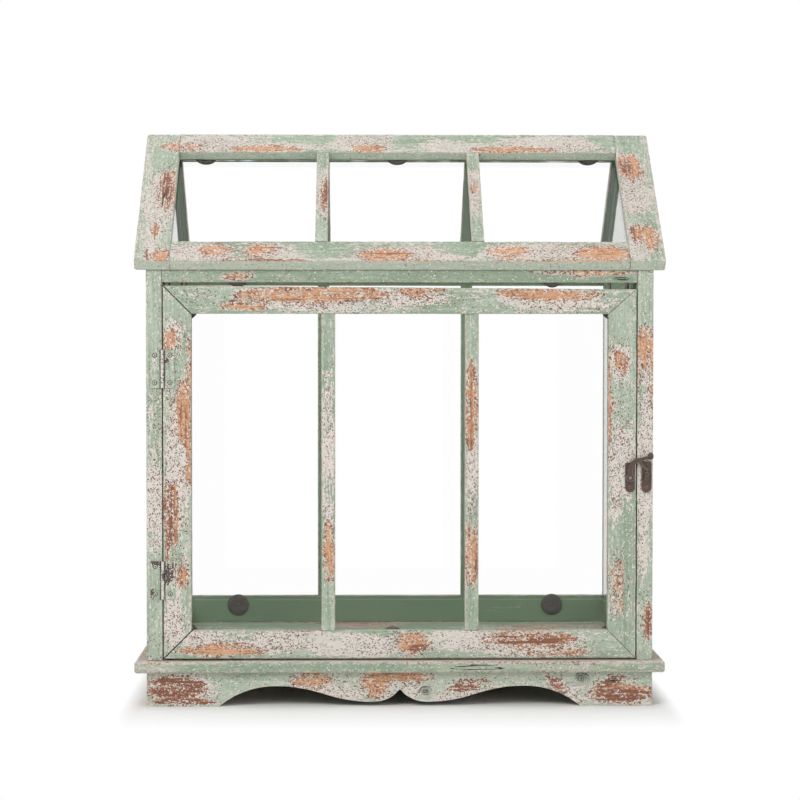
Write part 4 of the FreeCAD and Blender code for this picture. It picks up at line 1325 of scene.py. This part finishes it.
def screw_head(n, given):
    """A rod met by a ball that is as high as the head and as wide at its foot."""
    radius, height = given["Head Radius"], given["Head Height"]
    squares = n.math("ADD", n.math("POWER", radius, 2.0), n.math("POWER", height, 2.0))
    ball_radius = n.math("DIVIDE", squares, n.math("MULTIPLY", height, 2.0))
    inputs = {"Segments": ROUND, "Rings": BALL_RINGS, "Radius": ball_radius}
    ball = n.first("GeometryNodeMeshUVSphere", inputs)
    dome = lifted(n, ball, n.math("SUBTRACT", height, ball_radius))
    head = n.add("GeometryNodeMeshBoolean", {"Mesh 2": dome}, operation="INTERSECT", solver="EXACT")
    n.put(rod(n, radius, height, n.math("MULTIPLY", height, 0.5)), head.inputs["Mesh 2"])
    return head.outputs[0]


def cross_slot(n, head, given):
    """Cuts two crossed blocks out of a screw head."""
    deep, wide = given["Slot Depth"], given["Slot Width"]
    middle = n.math("SUBTRACT", given["Head Height"], n.math("MULTIPLY", deep, 0.5))
    tall = n.math("MULTIPLY", deep, 1.1)
    reach = n.math("MULTIPLY", given["Slot Reach"], 2.0)
    cut = n.add("GeometryNodeMeshBoolean", {"Mesh 1": head}, operation="DIFFERENCE", solver="EXACT")
    n.put(block(n, wide, reach, tall, middle), cut.inputs["Mesh 2"])
    n.put(block(n, reach, wide, tall, middle), cut.inputs["Mesh 2"])
    return cut.outputs[0]


def screw_tree(material):
    """The whole screw. `ring` is stored on it: the distance from its axis, 1 at the head's rim."""
    tree = points_tree("screws", {
        "Head Radius": HEAD_RADIUS, "Head Height": HEAD_HEIGHT, "Shank Radius": SHANK_RADIUS,
        "Shank Length": 0.006, "Slot Width": 0.0005, "Slot Depth": 0.00045, "Slot Reach": 0.0013,
    })
    n = Nodes(tree)
    given = n.add("NodeGroupInput").outputs
    whole = n.add("GeometryNodeJoinGeometry", {0: cross_slot(n, screw_head(n, given), given)})
    length = given["Shank Length"]
    n.put(rod(n, given["Shank Radius"], length, n.math("MULTIPLY", length, -0.5)), whole.inputs[0])
    at = n.add("ShaderNodeSeparateXYZ", {0: n.first("GeometryNodeInputPosition")}).outputs
    across = n.math("SQRT", n.math("ADD", n.math("POWER", at[0], 2.0), n.math("POWER", at[1], 2.0)))
    ring = n.math("DIVIDE", across, given["Head Radius"])
    inputs = {"Geometry": whole.outputs[0], "Name": "ring", "Value": ring}
    ringed = n.first("GeometryNodeStoreNamedAttribute", inputs, data_type="FLOAT", domain="POINT")
    on_points(n, ringed, 5, material)
    return tree


# %% Build the tree for the clips
def clip_tree(material):
    tree = points_tree("glazing_clips", {
        "Radius": 0.012, "Hole Radius": 0.0012, "Thickness": 0.0016, "Rounding": 0.0007,
    })
    n = Nodes(tree)
    given = n.add("NodeGroupInput").outputs
    thick = given["Thickness"]
    wide = n.math("SUBTRACT", given["Radius"], given["Hole Radius"])
    middle = n.math("MULTIPLY", n.math("ADD", given["Radius"], given["Hole Radius"]), 0.5)
    path = n.first("GeometryNodeCurvePrimitiveCircle", {"Resolution": 40, "Radius": middle})
    ring = swept(n, path, wide, thick, given["Rounding"], 3)
    on_points(n, lifted(n, ring, n.math("MULTIPLY", thick, -0.5)), 9, material)
    return tree


# %% [markdown]
# ## Metal
# The clips and screws are dull dark steel, and the latch is cast and browned like old bronze,
# rubbed where fingers and the keeper have worn it. Both are one recipe: a dark patina over
# metal, broken by noise, and thinner where the `edge` value is high, so the edges are paler:
# rubbed metal, and a painted highlight too. The screws of the hinges were painted over, and
# show as a pale ring with a dirty middle and a painted shadow round the rim; those of the
# latch are rubbed to copper.

# %% Mix the metals
# A painted screw: a painted shadow round the rim of its head, the pale paint of its ring, and dirt in
# the middle.
RING_RIM_SHADOW = srgb(74, 76, 62)
RING_PAINT = srgb(214, 211, 198)
SCREW_HOLE = srgb(96, 84, 72)
SCREW_BROWN = srgb(70, 52, 50)
SCREW_DULL = srgb(104, 88, 80)
COPPER = srgb(150, 100, 86)
METAL_BUMP = 0.5
SCREW_PITS = 0.0002              # metres


def patina_with_edge_highlight(name, dark, bright, metallic, rough):
    p = Layers(name)
    place = p.add("ShaderNodeTexCoord").outputs["Object"]
    cloud = p.noise(place, 9, detail=3)
    grit = p.noise(place, 1.4, detail=3, rough=0.6, shift=4.0)
    # Paler edges: rubbed metal, and a painted highlight where they catch light.
    worn = p.total((p.stored("edge"), 0.62), (cloud, 1.1), (grit, 0.7), (p.stored("bare"), 0.6))
    worn = p.over(worn, limit=0.46, soft=0.2)
    roughness = p.total((worn, -0.1), (grit, 0.4), rough)
    inputs = {"Base Color": p.mix(worn, dark, bright), "Metallic": metallic, "Roughness": roughness}
    return p.surface(p.total((grit, 1.0), (worn, -0.3)), METAL_BUMP, STEP_HEIGHT, inputs)


def fitting_screw():
    """Painted over on the hinges, with a pale ring, a dirty middle and a painted shadow round the rim;
    browned with a rubbed ring on the latch.
    """
    p = Layers("fitting_screw")
    place = p.add("ShaderNodeTexCoord").outputs["Object"]
    on_latch = p.stored("on_latch")
    grit = p.noise(place, 1.2, detail=3, rough=0.6)
    ring = p.total(p.stored("ring"), (grit, 0.35))
    within = p.over(p.total((ring, -1.0), 0.8), soft=0.06)
    on_ring = p.math("MULTIPLY", p.over(ring, limit=0.45, soft=0.1), within)
    hole = p.over(p.total((ring, -1.0), 0.4), soft=0.08)
    # Painted shadow round the head's rim, pale paint on the ring, dirt in the middle.
    painted = p.mix(hole, p.mix(on_ring, RING_RIM_SHADOW, RING_PAINT), SCREW_HOLE)
    browned = p.mix(on_ring, SCREW_BROWN, p.mix(p.stored("rubbed"), SCREW_DULL, COPPER))
    inputs = {
        "Base Color": p.mix(on_latch, painted, browned),
        "Roughness": p.total((grit, 0.3), 0.6),
        "Metallic": p.math("MULTIPLY", on_latch, 0.4),
    }
    return p.surface(grit, METAL_BUMP, SCREW_PITS, inputs)


BRONZE = patina_with_edge_highlight("aged_bronze", srgb(82, 68, 63), srgb(150, 132, 118), 0.45, 0.5)
STEEL = patina_with_edge_highlight("dark_steel", srgb(88, 84, 80), srgb(150, 146, 140), 0.7, 0.5)
FITTING_SCREW = fitting_screw()
print("metals:", BRONZE.name, STEEL.name, FITTING_SCREW.name)

# %% Put in the screws and clips
SCREWS = screw_tree(STEEL)
CLIPS = clip_tree(STEEL)
MADE = {                         # what is made, its tree, the screws it sits on, slot and material
    "case_clip_screws": (SCREWS, "case_clip_screws", "dark_steel", STEEL),
    "door_clip_screws": (SCREWS, "door_clip_screws", "dark_steel", STEEL),
    "case_fitting_screws": (SCREWS, "case_fitting_screws", "aged_bronze", FITTING_SCREW),
    "door_fitting_screws": (SCREWS, "door_fitting_screws", "aged_bronze", FITTING_SCREW),
    "case_glass_clips": (CLIPS, "case_clip_screws", "dark_steel", STEEL),
    "door_glass_clips": (CLIPS, "door_clip_screws", "dark_steel", STEEL),
}
for name, (tree, screws, slot, material) in MADE.items():
    made = smooth(grow(tree, {}, points_mesh(SEATS[screws])))
    print(name, show_piece(name, "_made", made, BODY_OF[name], material), "faces")

# %% [markdown]
# ## Hinges and latch
# The hinges were painted over with the door, so they get the same worn paint with dark metal
# under it. Their barrels are painted white down the middle as a highlight, with painted shade
# along both sides and a painted shadow round each screw.
# The latch was left bare, and its rivet is rubbed bright. All are small and round, so their own
# meshes are only sliced finer, and their worn borders are narrower than a board's.

# %% Where painted light and shade lie on the hinges
PIN_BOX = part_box("hinge_pins")
PIN_ACROSS = (PIN_BOX[0].x + PIN_BOX[1].x) / 2
# Painted light on the hinges: a white highlight down the middle of each barrel, painted shade along
# its sides where it curves away, and a painted shadow round each screw head.
BARREL_HIGHLIGHT_RADIUS = 0.0014           # the barrel's painted white highlight ends here
BARREL_SHADE_LINE = 0.0028             # and the painted shade along its sides here
SCREW_SHADOW_RING = (0.0017, 0.0027)    # painted shadow round a screw, from the middle of its head


def barrel_highlight_and_shade(place, normal):
    """1 in the painted white highlight down a hinge's barrel, and near 1 where it is painted dark:
    painted shade beside the barrel, a painted shadow round each screw, and the joints at the knuckles'
    ends.
    """
    away = np.abs(place[:, 0] - PIN_ACROSS)
    barrel_highlight = away < BARREL_HIGHLIGHT_RADIUS
    beside_shade = (away >= BARREL_HIGHLIGHT_RADIUS) & (away < BARREL_SHADE_LINE)
    between = barrel_highlight & (np.abs(normal[:, 1]) > UP_FACE)
    ring = np.zeros(len(place), dtype=bool)
    for seat, way in SEATS["case_fitting_screws"] + SEATS["door_fitting_screws"]:
        seat = FACES["front"] @ seat
        reach = np.hypot(place[:, 0] - seat.x, place[:, 1] - seat.y)
        ring |= (reach > SCREW_SHADOW_RING[0]) & (reach < SCREW_SHADOW_RING[1])
    return 1.0 * barrel_highlight, np.where(between, 1.0, 0.9 * beside_shade + 0.93 * (ring & ~beside_shade))


# The painted shadow lies round these screws.
print("painted shadow round", len(SEATS["case_fitting_screws"] + SEATS["door_fitting_screws"]), "screws")

# %% Finish the fittings
FITTINGS = {
    "painted_hinge": [
        "upper_hinge_post_leaf", "upper_hinge_door_leaf",
        "lower_hinge_post_leaf", "lower_hinge_door_leaf", "hinge_pins",
    ],
    "aged_bronze": ["latch_plate", "latch_arm", "latch_rivet", "catch_plate"],
}
FITTING_CELL = 0.0005
FITTING_BORDER = 0.0006
FITTING_CONVEX = math.radians(30)
FITTING_SHIFT = 0.31             # metres between two fittings in the noise
# The pins are painted white as a highlight; the post leaves carry more green.
CHALK_AND_HIGHLIGHT = {"hinge_pins": 1.6, "upper_hinge_post_leaf": -0.3, "lower_hinge_post_leaf": -0.3}


def fitting_wear(work, name, painted, seed):
    """The values that a fitting's paint or patina reads."""
    place = places_of(work.verts)
    flat = np.zeros(len(place))
    edge, seam = edges_and_seams(work, 0, False, FITTING_BORDER, FITTING_CONVEX)
    barrel_highlight, dirt_and_shade = barrel_highlight_and_shade(place, np.array([v.normal for v in work.verts]))
    bare = depth_in(BARE.get(name, []), place[:, 0] * 1000, place[:, 1] * 1000)
    return {
        "grain": place[:, [1, 0, 2]] + seed * FITTING_SHIFT,
        "edge": edge,
        # On a painted hinge, the seam value also carries its painted shade and shadow.
        "seam": np.maximum(seam, dirt_and_shade * painted),
        "tone": flat,
        "inside": flat,
        "bare": flat + 1 if name == "latch_rivet" else np.maximum(bare * 2, -9) * painted,
        "chips": flat - FAR,
        "split": flat - FAR,
        "dark": flat,
        # The white down the barrel's middle is a painted highlight.
        "chalk": flat + CHALK_AND_HIGHLIGHT.get(name, 0.1) + 1.6 * barrel_highlight,
    }


def finish_fitting(name, slot, seed):
    painted = slot == "painted_hinge"
    work = merged_copy(frame["nodes"][name].data, FACES["front"])
    slice_evenly(work, (FITTING_CELL, FITTING_CELL, FITTING_CELL))
    work.verts.index_update()
    work.normal_update()
    values = fitting_wear(work, name, painted, seed)
    mesh = finished_mesh(work, FACES["front"], values, name + "_finished")
    material = HINGE_PAINT if painted else BRONZE
    return show_piece(name, "_finished", mesh, BODY_OF[name], material)


for slot, names in FITTINGS.items():
    for seed, name in enumerate(names):
        print(name, finish_fitting(name, slot, seed), "faces")
